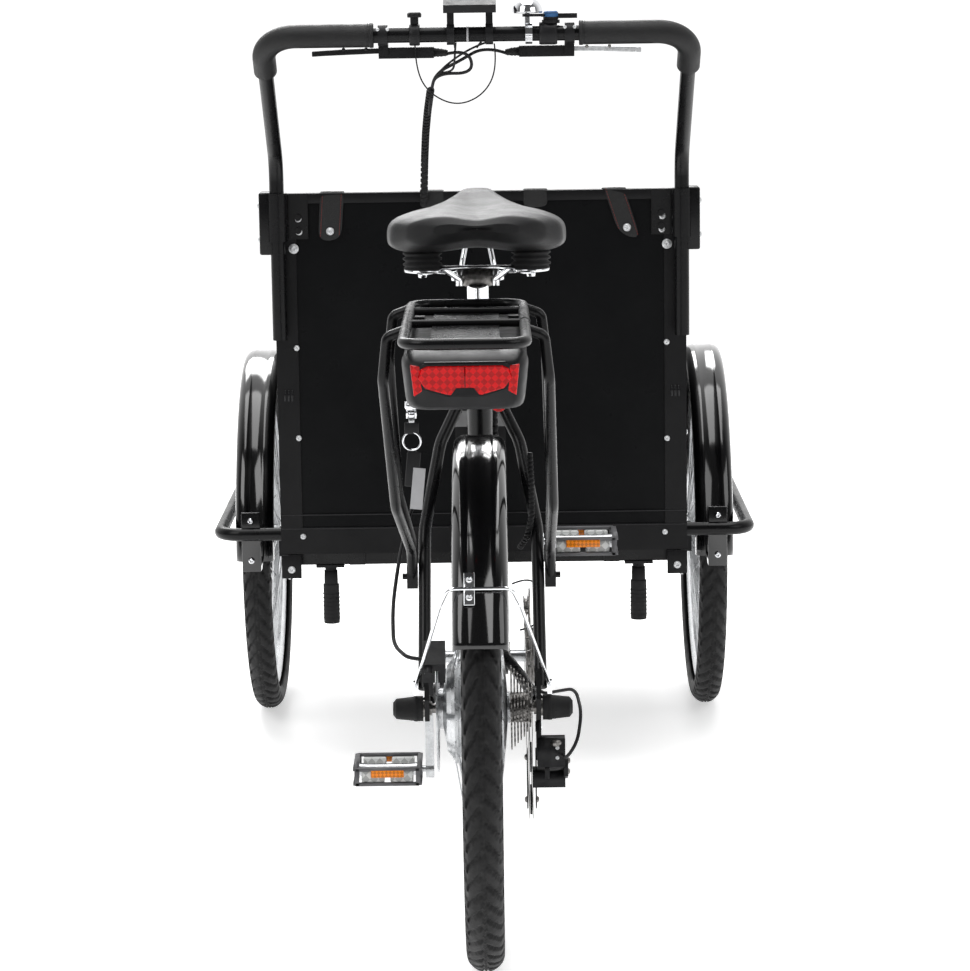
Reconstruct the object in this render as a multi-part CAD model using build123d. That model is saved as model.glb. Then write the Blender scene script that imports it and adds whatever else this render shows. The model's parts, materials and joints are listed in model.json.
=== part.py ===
from build123d import *
import math
import os

# Box-steered electric cargo tricycle. Millimetres, +X forward, +Y left, +Z up.
# Everything is laid out from the rear axle (x = 0) and the ground (z = 0);
# save() moves it all so that the origin is the middle of the footprint.

# Wheels
REAR_RADIUS = 331.0
REAR_TYRE_WIDTH = 48.0
FRONT_RADIUS = 300.0
FRONT_TYRE_WIDTH = 46.0
TYRE_WALL = 4.0
RIM_HEIGHT = 24.0
RIM_WALL = 3.5
WHEELBASE = 1415.0
TRACK = 745.0
FRONT_ROTOR_INSET = 35.0
SPOKE_RADIUS = 1.0
SPOKES_PER_SIDE = 16
ROTOR_RADIUS = 80.0
ROTOR_THICK = 2.0
MUDGUARD_GAP = 14.0
MUDGUARD_SKIN = 2.0
REAR_MUDGUARD_WIDTH = 66.0
FRONT_MUDGUARD_WIDTH = 61.0

# Rear hub and drive
DROPOUT_INSIDE = 67.5
DROPOUT_THICK = 6.0
AXLE_RADIUS = 6.0
RUN_CLEARANCE = 0.05
MOTOR_RADIUS = 62.0
MOTOR_LEFT = 45.0
MOTOR_RIGHT = -28.0
REAR_ROTOR_Y = 57.0
CHAIN_Y = -60.0
SPROCKET_PITCH = 4.0
SPROCKET_TEETH = (28, 26, 24, 22, 20, 17, 14)
CHAIN_PITCH = 12.7
CHAINRING_TEETH = 42
BB_X = 478.0
BB_Z = 290.0
BB_SHELL_RADIUS = 20.0
BB_SHELL_WIDTH = 68.0
SPINDLE_RADIUS = 8.5
CRANK_LENGTH = 170.0
CRANK_TILT = 7.0
CRANK_INSIDE = 74.0
CRANK_THICK = 12.0
PEDAL_WIDTH = 100.0
PEDAL_LENGTH = 92.0
PEDAL_HEIGHT = 26.0

# Rear frame
SEAT_TUBE_RADIUS = 17.0
SEAT_TUBE_FOOT_X = 440.0
SEAT_TUBE_TOP_Z = 770.0
SEAT_TUBE_LEAN = 24.5
SEAT_POST_RADIUS = 14.3
STAY_RADIUS = 8.0
BEAM_RADIUS = 25.0
BEAM_Z = 298.0
PIVOT_X = 1230.0
PIVOT_TUBE_RADIUS = 24.0
PIVOT_LOW_Z = 265.0
PIVOT_HIGH_Z = 332.0
KINGPIN_RADIUS = 8.0

# Carrier and battery
RACK_Y = 13.0
RACK_Z = 838.0
RACK_TUBE = 6.5
RACK_REAR = -355.0
RACK_FRONT = 60.0
RACK_HALF = 70.0
BATTERY_REAR = -345.0
BATTERY_FRONT = 55.0
BATTERY_HALF = 74.0
BATTERY_LOW = 757.0
BATTERY_HIGH = 827.5
KEY_PIN = 1.5

# Cargo box
BOX_REAR = 945.0
BOX_LENGTH = 870.0
BOX_HALF = 317.5
BOX_LOW = 352.0
BOX_TOP = 916.0
BOX_FRONT_TOP = 760.0
PANEL = 9.0
ANGLE_LEG = 34.0
ANGLE_WALL = 2.5
RAIL_HIGH = 15.0
BAND_HIGH = 42.0
HOOP_RADIUS = 10.5
HOOP_Z = 367.0
HOOP_HALF = 433.0
HOOP_REAR = 1040.0
HOOP_FRONT = 1790.0

# Handlebar
BAR_RADIUS = 11.1
BAR_X = 927.5
BAR_HALF = 310.0
BAR_FOOT_Z = 692.0
BAR_KNEE_Z = 965.0
BAR_TOP_X = 700.0
BAR_TOP_Z = 1160.0
SLEEVE_RADIUS = 15.5
SLEEVE_LOW = 844.0
SLEEVE_HIGH = 918.0
GRIP_RADIUS = 17.0
GRIP_REACH = 160.0

# Derailleur
PULLEY_RADIUS = 22.0
UPPER_PULLEY = (12.0, REAR_RADIUS - 68)
LOWER_PULLEY = (28.0, REAR_RADIUS - 128)

# Bench and straps
SEAT_HIGH = 560.0
CUSHION = 45.0
STRAPS = ((226, 4), (73, 0), (-86, 0), (-207, -18))
STRAP_WIDTH = 37.0
STRAP_DROP = 74.0

# Controls along the bar
LEVER_PIVOT_Y = 122.0
LEVER_TIP_Y = 240.0
SHIFTER_Y = -108.0
BELL_Y = -74.0
DISPLAY_Y = 12.0
THUMB_Y = 89.0

BOX_FRONT = BOX_REAR + BOX_LENGTH
MIDDLE_X = (BOX_FRONT + RACK_REAR - RACK_TUBE) / 2
SIDES = {"left": 1, "right": -1}


def save(node, *shapes):
    """Write one node as a STEP file, in the row's frame."""
    solids = [solid for shape in shapes for solid in shape.solids()]
    whole = Compound(children=[Pos(-MIDDLE_X, 0, 0) * solid for solid in solids])
    export_step(whole, f"parts/{node}.step")


def rod(start, end, radius):
    """A round bar from one point to another."""
    start, end = Vector(*start), Vector(*end)
    plane = Plane(origin=start, z_dir=end - start)
    return extrude(plane * Circle(radius), (end - start).length)


def ring(centre, direction, outer, inner, length):
    """A round collar with its middle at a point."""
    plane = Plane(origin=Vector(*centre) - Vector(*direction).normalized() * length / 2, z_dir=direction)
    return extrude(plane * (Circle(outer) - Circle(inner)), length)


def block(low, high):
    """A box between two corners."""
    size = [high[i] - low[i] for i in range(3)]
    middle = [(high[i] + low[i]) / 2 for i in range(3)]
    return Pos(*middle) * Box(*size)


def bent(points, radius, bends):
    """A round tube along straight runs joined by arcs."""
    path = FilletPolyline(*points, radius=bends)
    return sweep(Plane(origin=path @ 0, z_dir=path % 0) * Circle(radius), path)


def across(points, y_low, y_high):
    """A plate with an outline in X and Z, from one Y to another."""
    face = make_face(Polyline(*[(x, y_low, z) for x, z in points], close=True))
    return extrude(face, y_high - y_low, dir=(0, 1, 0))


def flip(shape):
    return mirror(shape, about=Plane.XZ)


def pitch_radius(teeth):
    return CHAIN_PITCH / (2 * math.sin(math.pi / teeth))


def turn(profile, x, y, z):
    """Revolve a profile, drawn as (y offset, radius), about the wheel axis at x, z."""
    face = make_face(Polyline(*[(x, y + along, z + out) for along, out in profile], close=True))
    return revolve(face, Axis((x, y, z), (0, 1, 0)), 360)


def tyre(x, y, radius, width):
    """An open tyre: a round section with its inside cut away towards the rim."""
    centre = radius - width / 2
    plane = Plane(origin=(x, y, radius + centre), x_dir=(0, 1, 0), z_dir=(1, 0, 0))
    base = rim_top(radius, width) - centre
    section = Circle(width / 2) - Circle(width / 2 - TYRE_WALL)
    section -= Pos(0, base - width / 2) * Rectangle(width, width)
    section -= Pos(0, base) * Rectangle(width / 3, TYRE_WALL * 2)
    return revolve(plane * section, Axis((x, y, radius), (0, 1, 0)), 360)


def rim_top(radius, width):
    return radius - width + TYRE_WALL * 0.9


def rim(x, y, radius, width):
    """A channel rim that the tyre stands on."""
    top = rim_top(radius, width)
    half = width * 0.29
    foot = half * 0.62
    low = top - RIM_HEIGHT
    profile = [(-half, top), (-foot, low), (foot, low), (half, top)]
    profile += [(half - RIM_WALL, top), (foot - RIM_WALL / 2, low + RIM_WALL)]
    profile += [(RIM_WALL / 2 - foot, low + RIM_WALL), (RIM_WALL - half, top)]
    return turn(profile, x, y, radius)


def spokes(x, y, z, hub_radius, rim_radius, flanges, count, lean):
    """Two sets of laced spokes; lean is how far round the rim each one runs."""
    made = []
    for side in flanges:
        for number in range(count):
            way = 1 if number % 2 else -1
            foot = math.radians(360 / count * number)
            head = foot + math.radians(lean) * way
            start = (x + hub_radius * math.cos(foot), side + 2 * way, z + hub_radius * math.sin(foot))
            tilt = math.copysign(2, side - y)
            end = (x + rim_radius * math.cos(head), y + tilt + 1.2 * way, z + rim_radius * math.sin(head))
            made.append(rod(start, end, SPOKE_RADIUS))
    return made


def mudguard(x, y, z, wheel_radius, width, first, last):
    """A curved guard over a wheel, from one angle to another above the front horizontal."""
    inner = wheel_radius + MUDGUARD_GAP
    half = width / 2
    drop = 16
    crown = 5
    skin = MUDGUARD_SKIN
    outside = [(-half, inner - drop), (-half, inner - crown), (-half * 0.55, inner + skin),
        (half * 0.55, inner + skin)]
    outside += [(half, inner - crown), (half, inner - drop)]
    inside = [(half - skin, inner - drop), (half - skin, inner - crown - 1), (half * 0.55 - 1, inner)]
    inside += [(1 - half * 0.55, inner), (skin - half, inner - crown - 1), (skin - half, inner - drop)]
    start = math.radians(first)
    points = []
    for along, out in outside + inside:
        points.append((x + out * math.cos(start), y + along, z + out * math.sin(start)))
    face = make_face(Polyline(*points, close=True))
    return revolve(face, Axis((x, y, z), (0, -1, 0)), last - first)


def rotor(x, y, z, hub_radius):
    """A brake disc with a ring, six arms and a boss."""
    outer = ring((x, y, z), (0, 1, 0), ROTOR_RADIUS, ROTOR_RADIUS - 16, ROTOR_THICK)
    boss = ring((x, y, z), (0, 1, 0), hub_radius + 12, hub_radius, ROTOR_THICK)
    arms = outer + boss
    for number in range(6):
        angle = 60 * number
        arm = Pos((ROTOR_RADIUS + hub_radius) / 2 - 2, 0, 0) * Box(ROTOR_RADIUS - hub_radius - 24,
            ROTOR_THICK, 9)
        arms += Pos(x, y, z) * Rot(0, angle, 0) * arm
    return arms


def rear_wheel():
    z = REAR_RADIUS
    seat = rim_top(REAR_RADIUS, REAR_TYRE_WIDTH)
    save("rear_tyre", tyre(0, 0, REAR_RADIUS, REAR_TYRE_WIDTH))
    bore = AXLE_RADIUS + RUN_CLEARANCE
    flange = MOTOR_RADIUS + 8
    profile = [(MOTOR_RIGHT - 6, bore), (MOTOR_LEFT + 5, bore), (MOTOR_LEFT + 5, 24),
        (MOTOR_LEFT, MOTOR_RADIUS - 8)]
    profile += [(MOTOR_LEFT - 6, MOTOR_RADIUS), (MOTOR_LEFT - 10, flange), (MOTOR_LEFT - 14, flange)]
    profile += [(MOTOR_LEFT - 15, MOTOR_RADIUS), (MOTOR_RIGHT + 7, MOTOR_RADIUS), (MOTOR_RIGHT + 6, flange)]
    profile += [(MOTOR_RIGHT + 2, flange), (MOTOR_RIGHT, MOTOR_RADIUS - 4), (MOTOR_RIGHT - 3, 20)]
    profile += [(MOTOR_RIGHT - 6, 20)]
    hub = turn(profile, 0, 0, z)
    flanges = (MOTOR_LEFT - 12, MOTOR_RIGHT + 4)
    laced = spokes(0, 0, z, MOTOR_RADIUS + 5, seat - RIM_HEIGHT - 0.3, flanges, SPOKES_PER_SIDE, 14)
    save("rear_rim", rim(0, 0, REAR_RADIUS, REAR_TYRE_WIDTH), *laced)
    carrier_ring = ring((0, REAR_ROTOR_Y - 4, z), (0, 1, 0), 26, 22, 6)
    save("hub_motor", hub, rotor(0, REAR_ROTOR_Y, z, 22) + carrier_ring)


def freewheel():
    """Seven sprockets on one body, the smallest in line with the chain."""
    bore = AXLE_RADIUS + 2
    inner = MOTOR_RIGHT - 6.5
    body = rod((0, CHAIN_Y - 1, REAR_RADIUS), (0, inner, REAR_RADIUS), 19)
    for place, teeth in enumerate(SPROCKET_TEETH):
        y = CHAIN_Y + SPROCKET_PITCH * (len(SPROCKET_TEETH) - 1 - place)
        body += sprocket(0, y, REAR_RADIUS, teeth, 1.8)
    save("freewheel", body - rod((0, CHAIN_Y - 9, REAR_RADIUS), (0, 0, REAR_RADIUS), bore))


def sprocket(x, y, z, teeth, thick):
    """A toothed disc whose tips stop short of the chain's rollers."""
    tip = pitch_radius(teeth) - 3.2
    root = tip - 3.5
    outline = []
    for number in range(teeth):
        for share, radius in ((0.0, root), (0.3, root), (0.45, tip), (0.65, tip)):
            angle = 2 * math.pi * (number + share) / teeth
            outline.append((x + radius * math.cos(angle), z + radius * math.sin(angle)))
    return across(outline, y - thick / 2, y + thick / 2)


def front_wheel(name, side):
    y = side * TRACK / 2
    z = FRONT_RADIUS
    seat = rim_top(FRONT_RADIUS, FRONT_TYRE_WIDTH)
    save(f"front_tyre_{name}", tyre(WHEELBASE, y, FRONT_RADIUS, FRONT_TYRE_WIDTH))
    bore = AXLE_RADIUS + RUN_CLEARANCE
    profile = [(30, bore), (30, 13), (26, 13), (26, 27), (22, 27), (20, 14)]
    inner = 1 - FRONT_ROTOR_INSET
    profile += [(-20, 14), (-22, 27), (-26, 27), (-26, 18), (inner, 18), (inner, bore)]
    hub = turn([(along * side, out) for along, out in profile], WHEELBASE, y, z)
    laced = spokes(WHEELBASE, y, z, 24, seat - RIM_HEIGHT - 0.3, (y - 24, y + 24), SPOKES_PER_SIDE, 38)
    save(f"front_rim_{name}", rim(WHEELBASE, y, FRONT_RADIUS, FRONT_TYRE_WIDTH), *laced)
    save(f"front_hub_{name}", hub, rotor(WHEELBASE, y - side * FRONT_ROTOR_INSET, z, 12))


def stay(side):
    """Chain stay, seat stay and dropout of one side."""
    out = DROPOUT_INSIDE + DROPOUT_THICK / 2
    low = [(BB_X - 12, side * 27, BB_Z + 6), (300, side * 48, 305), (62, side * out, REAR_RADIUS - 6)]
    high = [(-2, side * (out + 3), REAR_RADIUS + 26), (118, side * (out + 2), 540)]
    high += [(200, side * 52, 640), (seat_tube_x(712) - 6, side * 15, 712)]
    near, far = sorted((side * DROPOUT_INSIDE, side * (DROPOUT_INSIDE + DROPOUT_THICK)))
    outline = [(-16, 318), (6, 313), (70, 316), (70, 336), (22, 345), (12, 380), (-12, 380), (-16, 345)]
    plate = across(outline, near, far)
    return bent(low, STAY_RADIUS, 60) + bent(high, STAY_RADIUS, (110, 60)) + plate


def seat_tube_x(z):
    return SEAT_TUBE_FOOT_X - (z - BB_Z) * math.tan(math.radians(SEAT_TUBE_LEAN))


def seat_point(z):
    return (seat_tube_x(z), 0, z)


def rear_frame():
    tube = rod(seat_point(BB_Z), seat_point(SEAT_TUBE_TOP_Z), SEAT_TUBE_RADIUS)
    beam = rod((SEAT_TUBE_FOOT_X, 0, BEAM_Z), (PIVOT_X, 0, BEAM_Z), BEAM_RADIUS)
    gusset = across([(455, 320), (620, 320), (seat_tube_x(440) + 8, 440)], -5, 5)
    shell = rod((BB_X, -BB_SHELL_WIDTH / 2, BB_Z), (BB_X, BB_SHELL_WIDTH / 2, BB_Z), BB_SHELL_RADIUS + 6)
    pivot = rod((PIVOT_X, 0, PIVOT_LOW_Z), (PIVOT_X, 0, PIVOT_HIGH_Z), PIVOT_TUBE_RADIUS)
    whole = tube + beam + gusset + shell + pivot + stay(1) + stay(-1)
    whole -= rod((BB_X, -60, BB_Z), (BB_X, 60, BB_Z), BB_SHELL_RADIUS)
    whole -= rod((PIVOT_X, 0, 200), (PIVOT_X, 0, 400), KINGPIN_RADIUS + RUN_CLEARANCE)
    whole -= rod(seat_point(480), seat_point(SEAT_TUBE_TOP_Z + 30), SEAT_POST_RADIUS + RUN_CLEARANCE)
    whole -= rod((0, -99, REAR_RADIUS), (0, 99, REAR_RADIUS), AXLE_RADIUS)
    save("main_frame", whole)
    axis = Vector(*seat_point(800)) - Vector(*seat_point(700))
    clamp_z = SEAT_TUBE_TOP_Z + 1
    collar = ring(seat_point(clamp_z), axis, SEAT_TUBE_RADIUS + 4, SEAT_TUBE_RADIUS + 0.02, 16)
    bolt_x = seat_tube_x(clamp_z) - SEAT_TUBE_RADIUS - 8
    collar += block((bolt_x - 4, -9, clamp_z - 5), (bolt_x + 6, 9, clamp_z + 5))
    save("seat_clamp", collar - rod(seat_point(700), seat_point(850), SEAT_TUBE_RADIUS + 0.02))
    save("rear_mudguard", mudguard(0, 0, REAR_RADIUS, REAR_RADIUS, REAR_MUDGUARD_WIDTH, 38, 155))
    save("mudguard_stay", mudguard_stay())
    save("rear_axle", rear_axle())
    save("axle_caps", *[axle_cap(side) for side in (1, -1)])
    save("rear_caliper", caliper(0, REAR_ROTOR_Y, REAR_RADIUS, 1, 118))
    cartridge = ring((BB_X, 0, BB_Z), (0, 1, 0), BB_SHELL_RADIUS, SPINDLE_RADIUS + RUN_CLEARANCE,
        BB_SHELL_WIDTH + 6)
    save("bottom_bracket", cartridge)


def mudguard_stay():
    """A wire from the axle, over the guard and back down."""
    out = DROPOUT_INSIDE + DROPOUT_THICK + 12
    angle = math.radians(143)
    reach = REAR_RADIUS + MUDGUARD_GAP + MUDGUARD_SKIN + 2.6
    top = (reach * math.cos(angle), reach * math.sin(angle) + REAR_RADIUS)
    points = [(-3, out, REAR_RADIUS + 28), (top[0] + 10, 47, top[1] - 22), (top[0], 37, top[1])]
    points += [(top[0], -37, top[1]), (top[0] + 10, -47, top[1] - 22), (-3, -out, REAR_RADIUS + 28)]
    wire = bent(points, 2.2, (14, 12, 12, 14))
    for side in (1, -1):
        near, far = sorted((side * (out + 2), side * (out - 3.7)))
        wire += block((-8, near, REAR_RADIUS + 19), (2, far, REAR_RADIUS + 36))
    return wire


def rear_axle():
    """The fixed motor axle with its washers and nuts."""
    edge = DROPOUT_INSIDE + DROPOUT_THICK
    axle = rod((0, -edge - 26, REAR_RADIUS), (0, edge + 26, REAR_RADIUS), AXLE_RADIUS)
    for side in (1, -1):
        axle += ring((0, side * (edge + 1.05), REAR_RADIUS), (0, 1, 0), 11, 5.5, 2)
        axle += ring((0, side * (edge + 7), REAR_RADIUS), (0, 1, 0), 10, 5.5, 10)
        axle += ring((0, side * (DROPOUT_INSIDE - 1.55), REAR_RADIUS), (0, 1, 0), 9, 5.5, 3)
    return axle


def axle_cap(side):
    """A ribbed rubber cap over one axle nut."""
    edge = DROPOUT_INSIDE + DROPOUT_THICK + 2.2
    profile = [(edge, 16), (edge + 6, 16), (edge + 34, 13), (edge + 38, 8), (edge + 38, 0), (edge + 26, 0)]
    profile += [(edge + 26, 10.3), (edge, 10.3)]
    return turn([(side * along, out) for along, out in profile], 0, 0, REAR_RADIUS)


def caliper(x, y, z, side, angle, arm=True):
    """A brake caliper astride a disc, on an arm back towards the axle."""
    gap = ROTOR_THICK / 2 + 1.0
    body = Pos(ROTOR_RADIUS - 2, side * 3.5, 0) * Box(30, 29, 46)
    body -= Pos(ROTOR_RADIUS - 16, 0, 0) * Box(36, gap * 2, 60)
    body += Pos(ROTOR_RADIUS + 6, side * 10, 24) * Cylinder(5, 22)
    if arm:
        body += Pos(50, side * 7.6, 0) * Box(36, 5.6, 24)
    return Pos(x, y, z) * Rot(0, -angle, 0) * body


def loop_band(y_low, y_high, grow, wheels):
    """A closed band round a list of wheels, each x, z, radius, with grow added outwards."""
    outer = chain_outline(wheels, grow)
    face = make_face(Polyline(*[(x, y_low, z) for x, z in outer], close=True))
    return extrude(face, y_high - y_low, dir=(0, 1, 0))


def chain_outline(wheels, grow):
    """Points along the chain: arcs on the wheels, straight runs between them."""
    outline = []
    count = len(wheels)
    starts, ends = {}, {}
    for here in range(count):
        there = (here + 1) % count
        x1, z1, r1, turn1 = wheels[here]
        x2, z2, r2, turn2 = wheels[there]
        r1, r2 = turn1 * r1 + grow, turn2 * r2 + grow
        away = math.atan2(z2 - z1, x2 - x1)
        off = math.acos((r1 - r2) / math.hypot(x2 - x1, z2 - z1))
        angle = away + off
        ends[here] = (angle, r1)
        starts[there] = (angle, r2)
    for here in range(count):
        x, z, _, way = wheels[here]
        first, radius = starts[here]
        last = ends[here][0]
        while way > 0 and last > first:
            last -= 2 * math.pi
        while way < 0 and last < first:
            last += 2 * math.pi
        steps = max(4, int(abs(last - first) / 0.2))
        for step in range(steps + 1):
            angle = first + (last - first) * step / steps
            outline.append((x + radius * math.cos(angle), z + radius * math.sin(angle)))
    return outline


def chain():
    """Side plates round the sprocket, ring and pulleys, with pins on the free runs."""
    ring_radius = pitch_radius(CHAINRING_TEETH)
    wheels = [(0, REAR_RADIUS, pitch_radius(SPROCKET_TEETH[-1]), 1), (BB_X, BB_Z, ring_radius, 1)]
    wheels += [(*LOWER_PULLEY, PULLEY_RADIUS, 1), (*UPPER_PULLEY, PULLEY_RADIUS, -1)]
    bands = []
    for low, high in ((-2.6, -1.8), (1.8, 2.6)):
        band = loop_band(CHAIN_Y + low, CHAIN_Y + high, 3.2, wheels)
        band -= loop_band(CHAIN_Y + low - 1, CHAIN_Y + high + 1, -3.2, wheels)
        bands.append(band)
    whole = bands[0] + bands[1]
    for share in (0.2, 0.35, 0.5, 0.65, 0.8):
        x = BB_X * share
        top = REAR_RADIUS + pitch_radius(SPROCKET_TEETH[-1])
        z = top + (BB_Z + ring_radius - top) * share + 0.4
        whole += rod((x, CHAIN_Y - 2.2, z), (x, CHAIN_Y + 2.2, z), 2.2)
    return whole


def derailleur():
    """The hanger, parallelogram body and cage of the rear derailleur."""
    y = CHAIN_Y
    upper = Vector(UPPER_PULLEY[0], 0, UPPER_PULLEY[1])
    lower = Vector(LOWER_PULLEY[0], 0, LOWER_PULLEY[1])
    plates = []
    for offset in (-5.6, 4.2):
        outline = [(upper.X - 9, upper.Z + 10), (upper.X + 9, upper.Z + 10), (lower.X + 10, lower.Z - 6)]
        outline += [(lower.X + 4, lower.Z - 14), (lower.X - 8, lower.Z - 12)]
        plates.append(across(outline, y + offset, y + offset + 1.4))
    body = plates[0] + plates[1]
    edge = -DROPOUT_INSIDE - DROPOUT_THICK
    body += across([(-12, 314), (8, 314), (10, 296), (2, 284), (-12, 284)], edge - 5, edge - 0.1)
    body += across([(-14, 300), (14, 300), (20, 250), (4, 240), (-14, 262)], edge - 34, edge - 5)
    body += rod((UPPER_PULLEY[0], edge - 20, UPPER_PULLEY[1]), (UPPER_PULLEY[0], y + 6, UPPER_PULLEY[1]), 4)
    body += rod((LOWER_PULLEY[0], y - 6, LOWER_PULLEY[1]), (LOWER_PULLEY[0], y + 6, LOWER_PULLEY[1]), 4)
    return body


def jockey(place):
    """A toothed pulley that turns on its pin in the cage."""
    x, z = place
    wheel = sprocket(x, CHAIN_Y, z, 11, 2.4)
    return wheel - rod((x, CHAIN_Y - 9, z), (x, CHAIN_Y + 9, z), 4 + RUN_CLEARANCE)


def crank(side, angle):
    """One crank arm, with its pedal's place as the second value."""
    tilt = math.radians(angle)
    end = (BB_X + CRANK_LENGTH * math.cos(tilt), BB_Z + CRANK_LENGTH * math.sin(tilt))
    y = side * (CRANK_INSIDE + CRANK_THICK / 2)
    arm = Pos(CRANK_LENGTH / 2, 0, 0) * Box(CRANK_LENGTH, CRANK_THICK, 20)
    arm += Rot(90, 0, 0) * Cylinder(16, CRANK_THICK) + Pos(CRANK_LENGTH, 0, 0) * Rot(90, 0,
        0) * Cylinder(13, CRANK_THICK)
    return Pos(BB_X, y, BB_Z) * Rot(0, -angle, 0) * arm, end


def crankset():
    left, left_end = crank(1, CRANK_TILT - 90)
    right, right_end = crank(-1, CRANK_TILT + 90)
    spindle = rod((BB_X, -CRANK_INSIDE - 4, BB_Z), (BB_X, CRANK_INSIDE + 4, BB_Z), SPINDLE_RADIUS)
    pins = []
    for side, (x, z) in ((1, left_end), (-1, right_end)):
        near = side * (CRANK_INSIDE + 2)
        far = side * (CRANK_INSIDE + CRANK_THICK + PEDAL_WIDTH * 0.8)
        pins.append(rod((x, near, z), (x, far, z), 4.5))
    save("crank_arms", left + right + spindle + pins[0] + pins[1])
    plate = sprocket(BB_X, CHAIN_Y, BB_Z, CHAINRING_TEETH, 2.4)
    plate -= ring((BB_X, CHAIN_Y, BB_Z), (0, 1, 0), pitch_radius(CHAINRING_TEETH) - 22, 36, 8)
    for number in range(5):
        arm = Pos(50, 0, 0) * Box(38, 2.4, 16)
        plate += Pos(BB_X, CHAIN_Y, BB_Z) * Rot(0, 72 * number, 0) * arm
    guard_y = CHAIN_Y - 5
    guard = ring((BB_X, guard_y, BB_Z), (0, 1, 0), pitch_radius(CHAINRING_TEETH) + 11, 64, 2)
    for number in range(5):
        angle = math.radians(72 * number)
        x, z = BB_X + 67 * math.cos(angle), BB_Z - 67 * math.sin(angle)
        guard += rod((x, guard_y, z), (x, CHAIN_Y - 1.25, z), 3)
    boss = rod((BB_X, -CRANK_INSIDE, BB_Z), (BB_X, CHAIN_Y + 1.2, BB_Z), 40)
    hole = rod((BB_X, -99, BB_Z), (BB_X, 0, BB_Z), SPINDLE_RADIUS)
    save("chainring", plate - hole + (boss - hole), guard)
    for name, (x, z) in (("left", left_end), ("right", right_end)):
        save(f"pedal_{name}", pedal(x, z, SIDES[name]))


def pedal(x, z, side):
    """A block pedal with an open platform and reflectors front and back."""
    inner = CRANK_INSIDE + CRANK_THICK + 4
    body = Pos(0, inner + PEDAL_WIDTH / 2, 0) * Box(PEDAL_LENGTH, PEDAL_WIDTH, PEDAL_HEIGHT)
    for way in (1, -1):
        body -= Pos(way * 26, inner + PEDAL_WIDTH / 2, 0) * Box(24, PEDAL_WIDTH - 22, 40)
    body = Pos(x, 0, z) * body
    if side < 0:
        body = flip(body)
    y = side * (inner + PEDAL_WIDTH / 2)
    return body - rod((x, y - side * PEDAL_WIDTH, z), (x, y + side * 31, z), 4.5 + RUN_CLEARANCE)


def carrier():
    """A flat tube loop on four legs, with the dock that the battery slides under."""
    low, high = RACK_Y - RACK_HALF, RACK_Y + RACK_HALF
    middle = (RACK_REAR + RACK_FRONT) / 2
    loop = [(middle, low, RACK_Z), (RACK_REAR, low, RACK_Z), (RACK_REAR, high, RACK_Z)]
    loop += [(RACK_FRONT, high, RACK_Z), (RACK_FRONT, low, RACK_Z), (middle + 4, low, RACK_Z)]
    joint_collar = rod((middle - 8, low, RACK_Z), (middle + 12, low, RACK_Z), RACK_TUBE + 0.5)
    frame = bent(loop, RACK_TUBE, 28) + joint_collar
    for x in (-150, -20):
        frame += rod((x, low, RACK_Z), (x, high, RACK_Z), RACK_TUBE - 1.5)
    stay_y = DROPOUT_INSIDE + DROPOUT_THICK / 2 + 2 + STAY_RADIUS + 8.2
    for side in (1, -1):
        top = RACK_Y + side * RACK_HALF
        wide = RACK_Y + side * (RACK_HALF + 28)
        rear = [(-215, top, RACK_Z), (-213, wide - side * 6, RACK_Z - 8), (-205, wide, RACK_Z - 60)]
        rear += [(-60, wide * 0.5 + side * 48, 600)]
        rear += [(72, side * stay_y, 520), (84, side * stay_y, 485)]
        front = [(10, top, RACK_Z), (11, wide - side * 6, RACK_Z - 8), (14, wide, RACK_Z - 60)]
        front += [(48, wide * 0.5 + side * 48, 600)]
        front += [(92, side * stay_y, 530), (94, side * stay_y, 485)]
        frame += bent(rear, RACK_TUBE, (10, 18, 60, 30)) + bent(front, RACK_TUBE, (10, 18, 40, 20))
        frame += block((78, side * stay_y - 7, 470), (102, side * stay_y + 7, 500))
        frame += rod((90, side * (stay_y - 6), 484), (90, side * (stay_y + 13), 484), 4)
    dock_low = BATTERY_HIGH + 0.5
    dock = block((-300, RACK_Y - 40, dock_low), (RACK_FRONT - 30, RACK_Y + 40, RACK_Z - 2))
    frame += dock
    for side in (1, -1):
        frame += block((-60, RACK_Y + side * 60 - 9, dock_low + 4),
            (-40, RACK_Y + side * 60 + 9, RACK_Z - 2))
    low, high = RACK_Y - 40, RACK_Y + 40
    frame += block((RACK_FRONT - 70, low, dock_low + 4), (RACK_FRONT - 50, high + 25, RACK_Z))
    save("rear_carrier", frame)


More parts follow.
